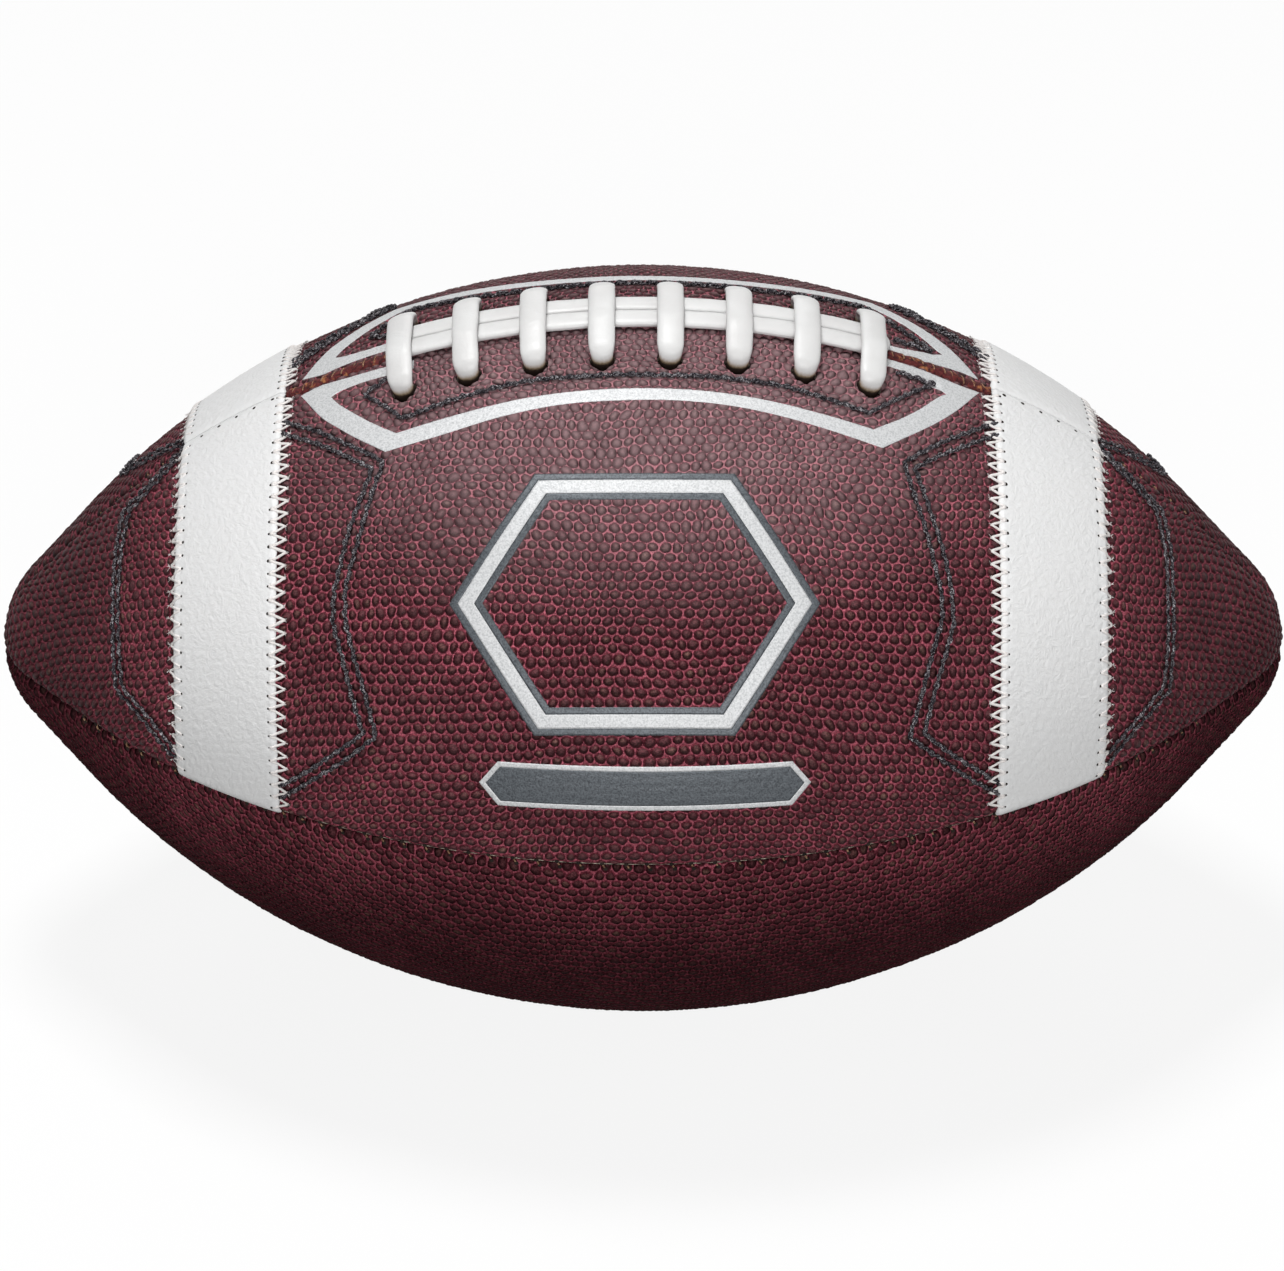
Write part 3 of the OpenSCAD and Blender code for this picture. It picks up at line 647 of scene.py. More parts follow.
leather = {
    "thickness": 1.8, "pressedFoil": 0.1,
    "groove": 0.5, "grooveWidth": 1.05, "grooveFlat": 0.75,
    "pucker": 0.3, "puckerReach": 1.9, "deepest": 0.8,
    "seamRelief": (0.55, 0.45), "seamReach": (0.4, 3.2),  # the grain is flatter beside a seam
    "foilEdge": 0.9, "stripeEdge": (0.4, 0.6),
    "waves": 0.05, "sunk": 0.1,
}


def seamDrop(near, share=1.0):
    # how far the leather turns down beside a seam
    inward = np.clip(seamTurn["width"] - near, 0, seamTurn["width"])
    return share * (turnRadius - np.sqrt(turnRadius ** 2 - inward ** 2))


def nearSeams(along, side, quarter):
    # mm from each place to the two seams of its quarter
    r = np.maximum(radiusAt(along), 0)
    low, high = (value * degree for value in quarters[quarter])
    return [r * np.sin(np.clip(turn, 0, math.pi / 2)) for turn in (side - low, high - side)]


def seamDropAt(along, side, quarter, share):
    return seamDrop(np.minimum(*nearSeams(along, side, quarter)), share)


def slowWaves(along, side):
    # the slight unevenness of stuffed leather
    slow = np.sin(along / 9.1 + 3 * side) * np.cos(side * 7.3 - along / 23)
    slow = slow + np.sin(along / 17.0 - 5 * side + 1.3)
    return leather["waves"] * slow - leather["sunk"]


def pebbleDepth(along, side, quarter, shift=0):
    # 0 on the pebbles, up to 1 down in the channels
    dome, pick = grainAt(grainPlace(along, side, quarter) + shift)
    least, more = pebbleGrain["rise"]
    return 1 - dome * (least + more * pick)


def leatherHeight(along, side, quarter):
    # height of the pebbled leather over the plain outline
    toLow, toHigh = nearSeams(along, side, quarter)
    near = np.minimum(toLow, toHigh)
    flat, rest = leather["seamRelief"]
    relief = flat + rest * smooth(*leather["seamReach"], near)
    dip = np.zeros(len(along))
    for ring in covered.get(quarter, ()):
        edge = distanceTo(along, side, ring)
        beside = 1 - smooth(0.0, leather["foilEdge"], edge)
        cover = np.where(insideOf(along, side, ring[:-1]), 1.0, beside)
        relief = relief * (1 - (1 - leather["pressedFoil"]) * cover)
    if quarter in charcoalLines:
        under = np.zeros(len(along))
        out, within = leather["stripeEdge"]
        for sign, (start, end) in stripe["spans"].items():
            under = under + (smooth(start - out, start + within, sign * along)
                             * smooth(end + out, end - within, sign * along))
        relief = relief * (1 - under)
        for line in charcoalLines[quarter]:
            pull = bell(distanceTo(along, side, fewer(line)), leather["grooveWidth"])
            relief = relief * (1 - leather["grooveFlat"] * pull)
            dip = dip + leather["groove"] * pull
        sign = 1 if quarter == "front_top" else -1
        for place in crossPlaces:
            apart = np.hypot(along - place, side * radiusAt(place) - sign * lacing["holeReach"])
            outside = np.maximum(apart - lacing["holeBore"] / 2, 0)
            dip = dip + lacing["rimDip"] * bell(outside, lacing["rimReach"])
    # drawn in at each seam stitch, but not beside the open top seam
    drawn = {"front_top": toHigh, "rear_top": toLow}.get(quarter, near)
    beat = np.cos(2 * math.pi * (along + seamStitches["end"]) / seamStitches["pitch"])
    dip = dip + leather["pucker"] * bell(drawn, leather["puckerReach"]) * (0.5 + 0.5 * beat)
    height = -pebbleGrain["depth"] * pebbleDepth(along, side, quarter) * relief
    height = height + slowWaves(along, side) - seamDrop(near)
    return height - np.minimum(dip, leather["deepest"])


panelRows = {
    "tipRadius": 1.0,  # mm, where the rows end at the noses
    "halveAt": 0.72,  # share of the ball's radius below which the columns halve
    "turned": (16, 2.7, 1.6),  # columns in a turned edge, its width in mm and its greatest share
    "backRows": 8, "backColumns": 16,
}


def panelGrid(quarter, step, count):
    # rows along the ball, with half as many columns each time the ball has narrowed enough
    low = quarters[quarter][0] * degree
    ends = noseStart + noseRadius * (math.acos(panelRows["tipRadius"] / noseRadius) - noseSlope)
    places = np.linspace(-ends, ends, int(2 * ends / step) // 8 * 8 + 1)
    rim, rimWidth, rimShare = panelRows["turned"]
    wide = halfWidth * panelRows["halveAt"]
    alongs, sides, starts, counts = [], [], [0], []
    for place in places:
        r = float(radiusAt(place))
        halvings = min(int(math.log2(wide / r)) + 1, 4) if r < wide else 0
        spans, edge = count >> halvings, max(1, rim >> halvings)
        first = math.asin(min(0.9, seamTurn["gap"] / r))
        turned = min(math.asin(min(0.9, rimWidth / r)), (math.pi / 2) * edge / spans * rimShare)
        turned = max(turned, first + 0.02)
        inner = np.linspace(turned, math.pi / 2 - turned, spans - 2 * edge + 1)
        outer = np.linspace(first, turned, edge, endpoint=False)
        sides.append(low + np.concatenate([outer, inner, math.pi / 2 - outer[::-1]]))
        alongs.append(np.full(spans + 1, place))
        counts.append(spans)
        starts.append(starts[-1] + spans + 1)
    return places, np.concatenate(alongs), np.concatenate(sides), starts[:-1], counts


def panelFaces(starts, counts):
    faces = []
    for a, b, n, m in zip(starts, starts[1:], counts, counts[1:]):
        k = np.arange(min(n, m))
        if n == m:
            sides = [a + k, a + k + 1, b + k + 1, b + k]
        elif n > m:
            sides = [a + 2 * k, a + 2 * k + 1, a + 2 * k + 2, b + k + 1, b + k]
        else:
            sides = [a + k, a + k + 1, b + 2 * k + 2, b + 2 * k + 1, b + 2 * k]
        faces += np.stack(sides, -1).tolist()
    return faces


def addPanel(quarter, step, count, material):
    places, along, side, starts, counts = panelGrid(quarter, step, count)
    outer = onBall(along, side, leatherHeight(along, side, quarter))
    faces = panelFaces(starts, counts)
    # the back of the leather, coarser, and the walls between the two
    backRows, columns = np.arange(0, len(places), panelRows["backRows"]), panelRows["backColumns"]
    last, wide = len(along), columns + 1
    backSide = []
    for i in backRows:
        row = side[starts[i]:starts[i] + counts[i] + 1]
        backSide.append(np.interp(np.linspace(0, 1, wide), np.linspace(0, 1, len(row)), row))
    backAlong = np.repeat(places[backRows], wide)
    inner = onBall(backAlong, np.concatenate(backSide), np.full(len(backAlong), -leather["thickness"]))
    faces += gridFaces(len(backRows), wide, last)[:, ::-1].tolist()
    for j in range(len(backRows) - 1):
        rows = range(backRows[j], backRows[j + 1] + 1)
        low, high = last + j * wide, last + (j + 1) * wide
        faces.append([starts[i] for i in rows] + [high, low])
        faces.append([starts[i] + counts[i] for i in reversed(rows)] + [low + columns, high + columns])
    endRow = last + (len(backRows) - 1) * wide
    faces.append([starts[0] + k for k in reversed(range(counts[0] + 1))] + [last + k for k in range(wide)])
    faces.append([starts[-1] + k for k in range(counts[-1] + 1)]
                 + [endRow + k for k in reversed(range(wide))])
    return addPiece(pieceName("leather", quarter), np.vstack([outer, inner]), faces, material,
                    ("panel_" + quarter,))


def mapPanel(piece, quarter):
    along, side = placeOf(pointsOf(piece))
    low, high = quarters[quarter]
    if low < -90:
        side = np.where(side > 0, side - 2 * math.pi, side)
    if high > 90:
        side = np.where(side < 0, side + 2 * math.pi, side)
    keepPlace(piece, grainPlace(along, side, quarter))


def cutPiece(piece, shapes):
    # each shape is a prism across the leather: its middle place, outline, lowest and highest point
    points, faces = [], []
    for middle, outline, low, high in shapes:
        flat, out = onBall(*middle), outwardAt(*middle)
        sideways = np.array([0, -math.cos(middle[1]), -math.sin(middle[1])])
        along = np.cross(out, sideways)
        along = along if along[0] > 0 else -along
        start, n = len(points), len(outline)
        for depth in (low, high):
            points += [flat + a * along + c * sideways + depth * out for a, c in outline]
        for k in range(n):
            a, b = start + k, start + (k + 1) % n
            faces.append([a, b, n + b, n + a])
        faces += [[start + k for k in reversed(range(n))], [start + n + k for k in range(n)]]
    mesh = bpy.data.meshes.new("holeCutter")
    mesh.from_pydata(toMetres(points), [], faces)
    cutter = addToScene("holeCutter", mesh)
    cut = piece.modifiers.new("holes", "BOOLEAN")
    cut.operation, cut.solver, cut.object = "DIFFERENCE", "MANIFOLD", cutter
    done = piece.evaluated_get(bpy.context.evaluated_depsgraph_get())
    whole, piece.data = piece.data, bpy.data.meshes.new_from_object(done)
    piece.modifiers.clear()
    piece.data.name = piece.name
    bpy.data.meshes.remove(whole)
    bpy.data.objects.remove(cutter)
    smoothFaces(piece.data)
    piece.data.set_sharp_from_angle(angle=50 * degree)


def roundOutline(radius, count=48):
    turn = np.linspace(0, 2 * math.pi, count, endpoint=False)
    return np.stack([radius * np.cos(turn), -radius * np.sin(turn)], -1)


def holeOutline(radius, sign):
    # pulled out of round, to a blunt point away from the lacing
    outline = roundOutline(radius)
    away = np.clip(sign * outline[:, 1] / radius, 0, 1)
    outline[:, 1] += sign * lacing["holePulled"] * away ** 2
    outline[:, 0] *= 1 - lacing["holeNarrowed"] * away ** 2
    return outline


def slotOutline(width, reach, count=24):
    turn = np.linspace(-math.pi, 0, count)
    end = np.stack([width / 2 * np.cos(turn), width / 2 * np.sin(turn) - reach], -1)
    return np.vstack([end, -end])[::-1]


def laceCuts(sign):
    width = lacing["thick"] + 2 * lacing["gap"]
    reach = strandPlace + lacing["strandWidth"] / 2 + lacing["gap"] - width / 2
    hole, slot = holeOutline(lacing["holeBore"] / 2, sign), slotOutline(width, reach)
    cuts = [(place, sign * lacing["holeReach"], hole) for place in crossPlaces]
    cuts.append((strandEnd, -lacing["strandShift"], slot))
    return [((place, across / radiusAt(place)), outline, *lacing["cut"]) for place, across, outline in cuts]


def tubeOn(along, side, height, wide, high=None):
    return onBall(along, side, height), outwardAt(along, side), wide, wide if high is None else high


def addTubes(name, tubes, material, stands=(), sides=6):
    # tubes with round ends: each is (points, outward directions, half widths, half heights)
    points, faces, start = [], [], 0
    turn = np.linspace(0, 2 * math.pi, sides, endpoint=False)
    capSize, capPush = np.array([0.02, 0.6, 0.92]), np.array([-0.9, -0.75, -0.35])
    for spots, outward, wide, high in tubes:
        way = unit(np.gradient(spots, axis=0))
        across = unit(np.cross(way, outward))
        up = np.cross(across, way)
        count = len(spots)
        wide, high = np.broadcast_to(wide, count), np.broadcast_to(high, count)
        size = np.concatenate([capSize, np.ones(count - 2), capSize[::-1]])
        push = np.concatenate([capPush, np.zeros(count - 2), -capPush[::-1]])
        order = np.concatenate([[0, 0, 0], np.arange(1, count - 1), [count - 1] * 3])
        w, h = wide[order] * size, high[order] * size
        heart = spots[order] + way[order] * (push * np.minimum(wide, high)[order])[:, None]
        ring = (heart[:, None, :] + across[order][:, None, :] * (w[:, None] * np.cos(turn))[:, :, None]
                + up[order][:, None, :] * (h[:, None] * np.sin(turn))[:, :, None])
        points.append(ring.reshape(-1, 3))
        faces += gridFaces(len(order), sides, start, closed=True)[:, ::-1].tolist()
        end = start + (len(order) - 1) * sides
        faces += [[start + k for k in range(sides)], [end + k for k in reversed(range(sides))]]
        start = end + sides
    return addPiece(name, np.vstack(points), faces, material, stands)


def leatherPlaces(tree):
    return addNode(tree, "ShaderNodeUVMap", uv_map="leatherPlace").outputs[0]


def objectPlaces(tree):
    return addNode(tree, "ShaderNodeTexCoord").outputs["Object"]


def splitNode(tree, vector):
    return addNode(tree, "ShaderNodeSeparateXYZ", {0: vector}).outputs


def noiseNode(tree, place, size, detail=3.0, rough=0.5, distortion=0.0):
    # size is in the same unit as place
    return addNode(tree, "ShaderNodeTexNoise", {
        "Vector": place, "Scale": 1 / size, "Detail": detail, "Roughness": rough,
        "Distortion": distortion}).outputs["Fac"]


def bumpNode(tree, height, distance, strength, normal=None):
    inputs = {"Height": height, "Distance": distance, "Strength": strength}
    return addNode(tree, "ShaderNodeBump", {**inputs, "Normal": normal} if normal else inputs).outputs[0]


def finishMaterial(tree, paint, roughness, normal, gloss, metal=0.0):
    shader = addNode(tree, "ShaderNodeBsdfPrincipled", {
        "Base Color": paint, "Roughness": roughness, "Normal": normal,
        "Specular IOR Level": gloss, "Metallic": metal})
    addNode(tree, "ShaderNodeOutputMaterial", {0: shader.outputs[0]})


maroonPaint = {
    "channel": (0.290, 0.068, 0.094),
    "channelDeep": (0.160, 0.030, 0.044),
    "pebbleTop": (0.074, 0.024, 0.028),
    "pebbleWorn": (0.105, 0.055, 0.045),
    # rim: painted shade, a dark ring round the edge of each pebble where the channel begins
    "rim": (0.024, 0.006, 0.008),
    "rimShare": 0.45,
    "paintedSheen": (0.54, 0.37, 0.385),  # painted sheen high on the sides, where a light from above would catch the leather
    "paintedSheenShare": 0.37,
    # painted shade, darker towards the underside and on the noses: from, to, tones there
    "under": (0.046, 0.097, 0.26, 1.0),
    "nose": (0.098, 0.128, 1.0, 0.52),
    # painted shade on the slopes that face down, and painted light on those that face up, as if lit from
    # above
    "slopeShade": (-0.45, 0.45, 0.55, 1.45),
    # noises: size in mm, detail, roughness and distortion; bumps: depth in metres and strength
    "noises": {
        "wrinkle": (0.55, 4.0, 0.6, 0.6), "speck": (0.45, 3.0, 0.7),
        "cloud": (26.0,), "patch": (7.0, 3.0, 0.6),
    },
    "bumps": (("speck", 0.00012, 0.5), ("wrinkle", 0.00035, 0.55), ("dome", 0.0014, 1.0)),
    "strays": {"wrinkle": 1.6, "speck": 0.5},
    "border": (0.62, 0.10), "channelEdge": (0.15, 0.90), "topEdge": (0.20, 0.75),
    "rubbedPick": (0.2, 1.0), "rubbedPatch": (0.35, 0.7), "rimRises": (0.0, 0.4), "rimFalls": (1.0, 0.6),
    "cloudTone": (0.3, 0.75, 0.86, 1.14), "speckTone": (0.38, 0.62, 0.55, 1.45),
    "sheenByHeight": (0.130, 0.162), "sheenBySide": (0.0, 0.012, 1.0, 0.35),
    "sheenByNose": (0.030, 0.085, 1.0, 0.40), "sheenByPatch": (0.2, 0.7, 0.7, 1.0),
    "upper": (0.10, 0.50),  # gloss and roughness
    "lower": (0.02, 0.80),
    "rougher": 0.14,  # in the channels
}


def makeMaroonLeather(name, gloss, rough):
    material, tree = newMaterial(name)
    place = leatherPlaces(tree)
    worn, dome, pick = pebbleNodes(tree, place)
    found = {key: noiseNode(tree, place, *given) for key, given in maroonPaint["noises"].items()}
    found["dome"] = dome
    creased = None
    for key, depth, strength in maroonPaint["bumps"]:
        creased = bumpNode(tree, found[key], depth, strength, creased)

    def ramp(value, key):
        return rampNode(tree, value, *maroonPaint[key])

    def strayed(value, key):
        return mathNode(tree, "ADD", value, straying(tree, found[key], maroonPaint["strays"][key]))

    # pebbles over their channels
    border = strayed(ramp(dome, "border"), "wrinkle")
    channel = mixColour(tree, ramp(border, "channelEdge"), maroonPaint["channelDeep"], maroonPaint["channel"])
    rubbed = product(tree, ramp(pick, "rubbedPick"), ramp(found["patch"], "rubbedPatch"))
    top = mixColour(tree, rubbed, maroonPaint["pebbleTop"], maroonPaint["pebbleWorn"])
    paint = mixColour(tree, ramp(strayed(worn, "speck"), "topEdge"), channel, top)
    # painted shade in the crease round the edge of each pebble
    rim = product(tree, ramp(worn, "rimRises"), ramp(worn, "rimFalls"), maroonPaint["rimShare"])
    paint = mixColour(tree, rim, paint, maroonPaint["rim"])

    # random tone, and painted shade and sheen by the place on the ball and the slope of the grain
    x, y, height = splitNode(tree, objectPlaces(tree))
    away = mathNode(tree, "ABSOLUTE", x)
    plain = addNode(tree, "ShaderNodeNewGeometry").outputs["Normal"]
    upright, level = (vectorNode(tree, "DOT_PRODUCT", way, (0, 0, 1), output=1) for way in (creased, plain))
    # painted shade and light by slope: grain facing down is darker, grain facing up paler
    slope = mathNode(tree, "SUBTRACT", upright, level)
    tone = product(tree, ramp(found["cloud"], "cloudTone"), ramp(found["speck"], "speckTone"),
                   ramp(slope, "slopeShade"), ramp(height, "under"), ramp(away, "nose"))
    grey = addNode(tree, "ShaderNodeCombineXYZ", {0: tone, 1: tone, 2: tone}).outputs[0]
    paint = mixColour(tree, 1.0, paint, grey, "MULTIPLY")
    # painted sheen: paler and greyer high on the sides, less at the back and on the noses, patchy
    sheenMask = product(tree, ramp(height, "sheenByHeight"), ramp(y, "sheenBySide"), ramp(away, "sheenByNose"),
                  ramp(found["patch"], "sheenByPatch"), maroonPaint["paintedSheenShare"])
    paint = mixColour(tree, sheenMask, paint, maroonPaint["paintedSheen"])
    roughness = rampNode(tree, worn, 0.0, 1.0, rough + maroonPaint["rougher"], rough)
    finishMaterial(tree, paint, roughness, creased, gloss)
    return material


def makeFinish(name, patterns, paint, coats, bumps, roughness, gloss, metal=0.0,
               places=objectPlaces, more=None):
    # patterns are noises by name, coats are colours with the ramps that let them show,
    # and bumps are a pattern, its depth in metres and a strength
    material, tree = newMaterial(name)
    place = places(tree)
    found = {key: noiseNode(tree, place, *given) for key, given in patterns.items()}
    if more:
        found.update(more(tree, place, found))
    for coat, *ramps in coats:
        shares = [rampNode(tree, found[key], *given) for key, *given in ramps]
        paint = mixColour(tree, product(tree, *shares), paint, coat)
    normal = None
    for key, depth, strength in bumps:
        normal = bumpNode(tree, found[key], depth, strength, normal)
    if isinstance(roughness, tuple):
        key, *given = roughness
        roughness = rampNode(tree, found[key], *given)
    finishMaterial(tree, paint, roughness, normal, gloss, metal)
    return material


def wornPebbles(tree, place, found):
    return {"worn": pebbleNodes(tree, place)[0]}


def laceDepths(tree, place, found):
    # height over the leather and distance from the middle line, both in mm
    height, across = splitNode(tree, leatherPlaces(tree))[:2]
    return {"height": mathNode(tree, "ADD", height, straying(tree, found["fine"], 0.6)), "across": across}


def makeThread(name, dark, light, size):
    return makeFinish(name, {"fibre": (size, 4.0, 0.65, 1.0), "tone": (size * 6, 2.0)}, dark,
                      [(light, ("fibre", 0.35, 0.68)), (dark, ("tone", 0.4, 0.75, 0.0, 0.5))],
                      [("fibre", 0.00025, 0.9)], 0.6, 0.1)


def makeFoil(name, dark, light, metal, rough):
    return makeFinish(name, {"glitter": (0.00040, 2.0, 0.6, 0.3), "cracks": (0.0016, 4.0, 0.7, 1.2)}, dark,
                      [(light, ("glitter", 0.30, 0.62)), (dark, ("cracks", 0.66, 0.80, 0.0, 0.5))],
                      [("glitter", 0.00010, 0.6), ("cracks", 0.0003, 0.3)], rough, 0.5, metal)


def makeRubber(name, dark, light, roughness):
    return makeFinish(name, {"cloud": (0.009, 4.0), "dust": (0.0009, 4.0, 0.7)}, dark,
                      [(light, ("cloud", 0.3, 0.75)), (light, ("dust", 0.6, 0.78, 0.0, 0.35))],
                      [("dust", 0.00012, 0.5)], roughness, 0.1)


def makeWeave(name, dark, light, pitch):
    # plain woven cloth, warp over weft
    def weave(tree, place, found):
        x, y, z = splitNode(tree, place)
        waves = [mathNode(tree, "SINE", product(tree, value, 2 * math.pi / pitch))
                 for value in (x, mathNode(tree, "ADD", y, z))]
        return {"weave": product(tree, *waves)}

    return makeFinish(name, {"fibre": (pitch / 3, 3.0, 0.6), "cloud": (0.02,)}, dark,
                      [(light, ("weave", -0.7, 0.9)), (dark, ("cloud", 0.35, 0.75, 0.0, 0.3))],
                      [("fibre", 0.0001, 0.5), ("weave", 0.00025, 0.7)], 0.85, 0.2, more=weave)


maroonLeather = makeMaroonLeather("pebbledMaroonLeather", *maroonPaint["upper"])
lowerLeather = makeMaroonLeather("pebbledMaroonLower", *maroonPaint["lower"])
whiteLeather = makeFinish(
    "whiteStripeLeather",
    {"wrinkle": (0.8, 4.0, 0.6, 0.5), "cloud": (14.0,), "crumple": (2.6, 3.0, 0.55, 1.6), "fine": (0.3,)},
    (0.665, 0.66, 0.655),
    [((0.71, 0.71, 0.705), ("wrinkle", 0.35, 0.7)), ((0.715, 0.715, 0.715), ("worn", 0.0, 0.5, 0.6, 1.0)),
     ((0.69, 0.695, 0.70), ("cloud", 0.35, 0.75, 0.0, 0.30))],
    [("fine", 0.0001, 0.4), ("wrinkle", 0.0003, 0.45), ("crumple", 0.0007, 0.35)],
    0.55, 0.3, places=leatherPlaces, more=wornPebbles)
laceVinyl = makeFinish(  # with grime and painted shade where it goes down through the holes
    "laceVinyl",
    {"crease": (0.0035, 3.0, 0.5, 0.8), "cloud": (0.011, 2.0), "fine": (0.0005,)},
    (0.57, 0.565, 0.56),
    [((0.615, 0.615, 0.61), ("cloud", 0.35, 0.7)),
     # grime and painted shade, brown where the lace nears a hole
     ((0.26, 0.19, 0.12), ("height", 0.25, -1.25), ("across", 10.5, 11.5)),
     # painted shadow, near black, down inside the holes
     ((0.020, 0.012, 0.009), ("height", -0.75, -1.65), ("across", 10.5, 11.5))],
    [("fine", 0.00006, 0.5), ("crease", 0.0004, 0.35)],
    ("crease", 0.3, 0.7, 0.36, 0.5), 0.4, more=laceDepths)
charcoalThread = makeFinish(  # near black, with painted glints where the plies would catch the light
    "charcoalThread",
    {"fibre": (0.00040, 2.0, 0.7, 1.2), "lump": (0.0022, 2.0, 0.6)},
    (0.006, 0.005, 0.007),
    [((0.050, 0.044, 0.052), ("fibre", 0.40, 0.56)),
     # painted highlights: pale glints on the plies, in lumps along the stitches
     ((0.46, 0.44, 0.46), ("fibre", 0.52, 0.64), ("lump", 0.35, 0.60, 0.35, 1.0))],
    [("fibre", 0.00025, 0.9)], 0.6, 0.06)
rollLeather = makeFinish(
    "rolledSeamLeather", {"grain": (0.0009, 4.0, 0.65, 0.8), "rub": (0.0028, 3.0, 0.6)},
    (0.022, 0.006, 0.007),
    [((0.120, 0.022, 0.022), ("grain", 0.34, 0.68)), ((0.42, 0.17, 0.07), ("rub", 0.56, 0.70, 0.0, 0.8))],
    [("grain", 0.0003, 0.8)], 0.6, 0.1)
facingHide = makeFinish(
    "facingHide", {"nap": (0.0007, 4.0, 0.7), "cloud": (0.012,)},
    (0.050, 0.022, 0.016),
    [((0.100, 0.045, 0.030), ("cloud", 0.3, 0.75)), ((0.030, 0.012, 0.009), ("nap", 0.35, 0.7, 0.0, 0.5))],
    [("nap", 0.0002, 0.7)], 0.8, 0.25)
creamThread = makeThread("creamThread", (0.78, 0.735, 0.71), (0.88, 0.86, 0.85), 0.00022)
tanThread = makeThread("tanThread", (0.085, 0.030, 0.016), (0.52, 0.33, 0.20), 0.00030)
silverFoil = makeFoil("silverFoil", (0.37, 0.378, 0.385), (0.545, 0.55, 0.555), 0.15, 0.48)
charcoalFoil = makeFoil("charcoalFoil", (0.020, 0.024, 0.030), (0.070, 0.080, 0.090), 0.30, 0.42)
# painted shade for the needle holes: dark lenses put where there is only shade
holeShade = makeRubber("needleShade", (0.012, 0.010, 0.009), (0.03, 0.022, 0.018), 0.9)
print("finishes ready")

panelFinish = {"top": (0.5, 288, maroonLeather), "bottom": (0.58, 256, lowerLeather)}  # step, columns
valve = {"place": (0.0, -135 * degree), "neckHole": 4.2, "cut": (-6.0, 3.0)}
cuts = {"front_top": laceCuts(1), "rear_top": laceCuts(-1),
        "rear_bottom": [(valve["place"], roundOutline(valve["neckHole"]), *valve["cut"])]}

for quarter in quarters:
    panel = addPanel(quarter, *panelFinish[quarter.split("_")[1]])
    if quarter in cuts:
        cutPiece(panel, cuts[quarter])
    mapPanel(panel, quarter)
    print("leather panel", quarter, len(panel.data.polygons), "faces")


def edgeStitches(edge, quarter):
    # where the needle went in on the stripe and out on the leather, as angles round the ball
    low, high = (value * degree for value in quarters[quarter])
    radius, pitch = radiusAt(edge), stripe["stitchPitch"]
    length = radius * (high - low)
    count = int((length - stripe["endsFree"]) / pitch)
    first = (length - count * pitch) / 2
    needles = low + (first + pitch * np.arange(count + 1)) / radius
    tips = low + (first + pitch * (np.arange(count) + 0.5)) / radius
    needles = needles + dice.normal(0, stripe["needleStray"], len(needles)) / radius
    return needles, tips + dice.normal(0, stripe["tipStray"], len(tips)) / radius


def stitchReach(edge, out):
    return stripe["nearReach"] if out * edge < 0 else stripe["farReach"]


def edgeRound(inward):
    return stripe["round"] * np.clip(1 - inward / stripe["roundReach"], 0, 1) ** stripe["roundPower"]


def stripeTop(along, side, quarter, stitches):
    toLow, toHigh = nearSeams(along, side, quarter)
    toTop, toSide = (toLow, toHigh) if quarter == "front_top" else (toHigh, toLow)
    grain = stripe["pebbles"] * pebbleDepth(along, side, quarter, stripe["pebbleShift"])
    height = stripe["top"] - grain * smooth(0.3, 2.0, toTop) + slowWaves(along, side)
    height = height - seamDrop(toTop, stripe["topTurn"]) - seamDrop(toSide)
    for edge, out, (needles, tips) in stitches:
        inward = (edge - along) * out
        height = height - edgeRound(inward)
        for needle in needles:
            apart = np.hypot(inward - stitchReach(edge, out)[0], (side - needle) * radiusAt(edge))
            height = height - stripe["dimple"] * bell(apart, stripe["dimpleReach"])
    bottom = stripe["under"] - seamDrop(toTop, stripe["topTurn"]) - seamDrop(toSide)
    return height, np.minimum(bottom, height - stripe["least"])


def addStripe(place, quarter, sign):
    # a strip of white leather sewn over the quarter, from seam to seam
    low, high = (value * degree for value in quarters[quarter])
    near, far = (sign * place for place in stripe["spans"][sign])
    rows, columns = int(abs(far - near) / stripe["step"]) + 1, stripe["columns"]
    share = np.linspace(-1, 1, rows)
    share = np.sign(share) * np.abs(share) ** stripe["rowPower"]
    stitches = [(edge, out, edgeStitches(edge, quarter)) for edge, out in ((near, -sign), (far, sign))]
    even = np.linspace(0, 1, columns)
    u = (1 - np.cos(even * math.pi)) / 2 * stripe["toSeams"] + even * (1 - stripe["toSeams"])
    along = np.repeat((near + far) / 2 + share * abs(far - near) / 2, columns)
    radius = radiusAt(along)
    start, end = low + stripe["seamGaps"][0] / radius, high - stripe["seamGaps"][1] / radius
    side = start + (end - start) * np.tile(u, rows)
    # the cut edges swell a little between the stitches
    reach = np.minimum(np.abs(along - near), np.abs(along - far))
    swell = stripe["swell"] * bell(reach, stripe["swellReach"])
    for edge, out, (needles, tips) in stitches:
        phase = (side - needles[0]) * radiusAt(edge) / stripe["stitchPitch"]
        bulge = out * swell * (0.25 - np.cos(2 * math.pi * phase)) * stripe["swellWave"]
        along = along + np.where(np.abs(along - edge) < stripe["swellWidth"], bulge, 0)
    top, bottom = stripeTop(along, side, quarter, stitches)
    points = np.vstack([onBall(along, side, top), onBall(along, side, bottom)])
    piece = addPiece(pieceName("stripe", place), points, slabFaces(rows, columns), whiteLeather,
                     ("stripe_" + place,))
    grain = grainPlace(along, side, quarter) + stripe["pebbleShift"]
    keepPlace(piece, np.vstack([grain, grain]))
    return stitches


sewnStripes = {}
for half in ("front", "rear"):
    for sign, hand in ((-1, "_left"), (1, "_right")):
        sewnStripes[half + hand] = half + "_top", addStripe(half + hand, half + "_top", sign)
print("white stripes ready")

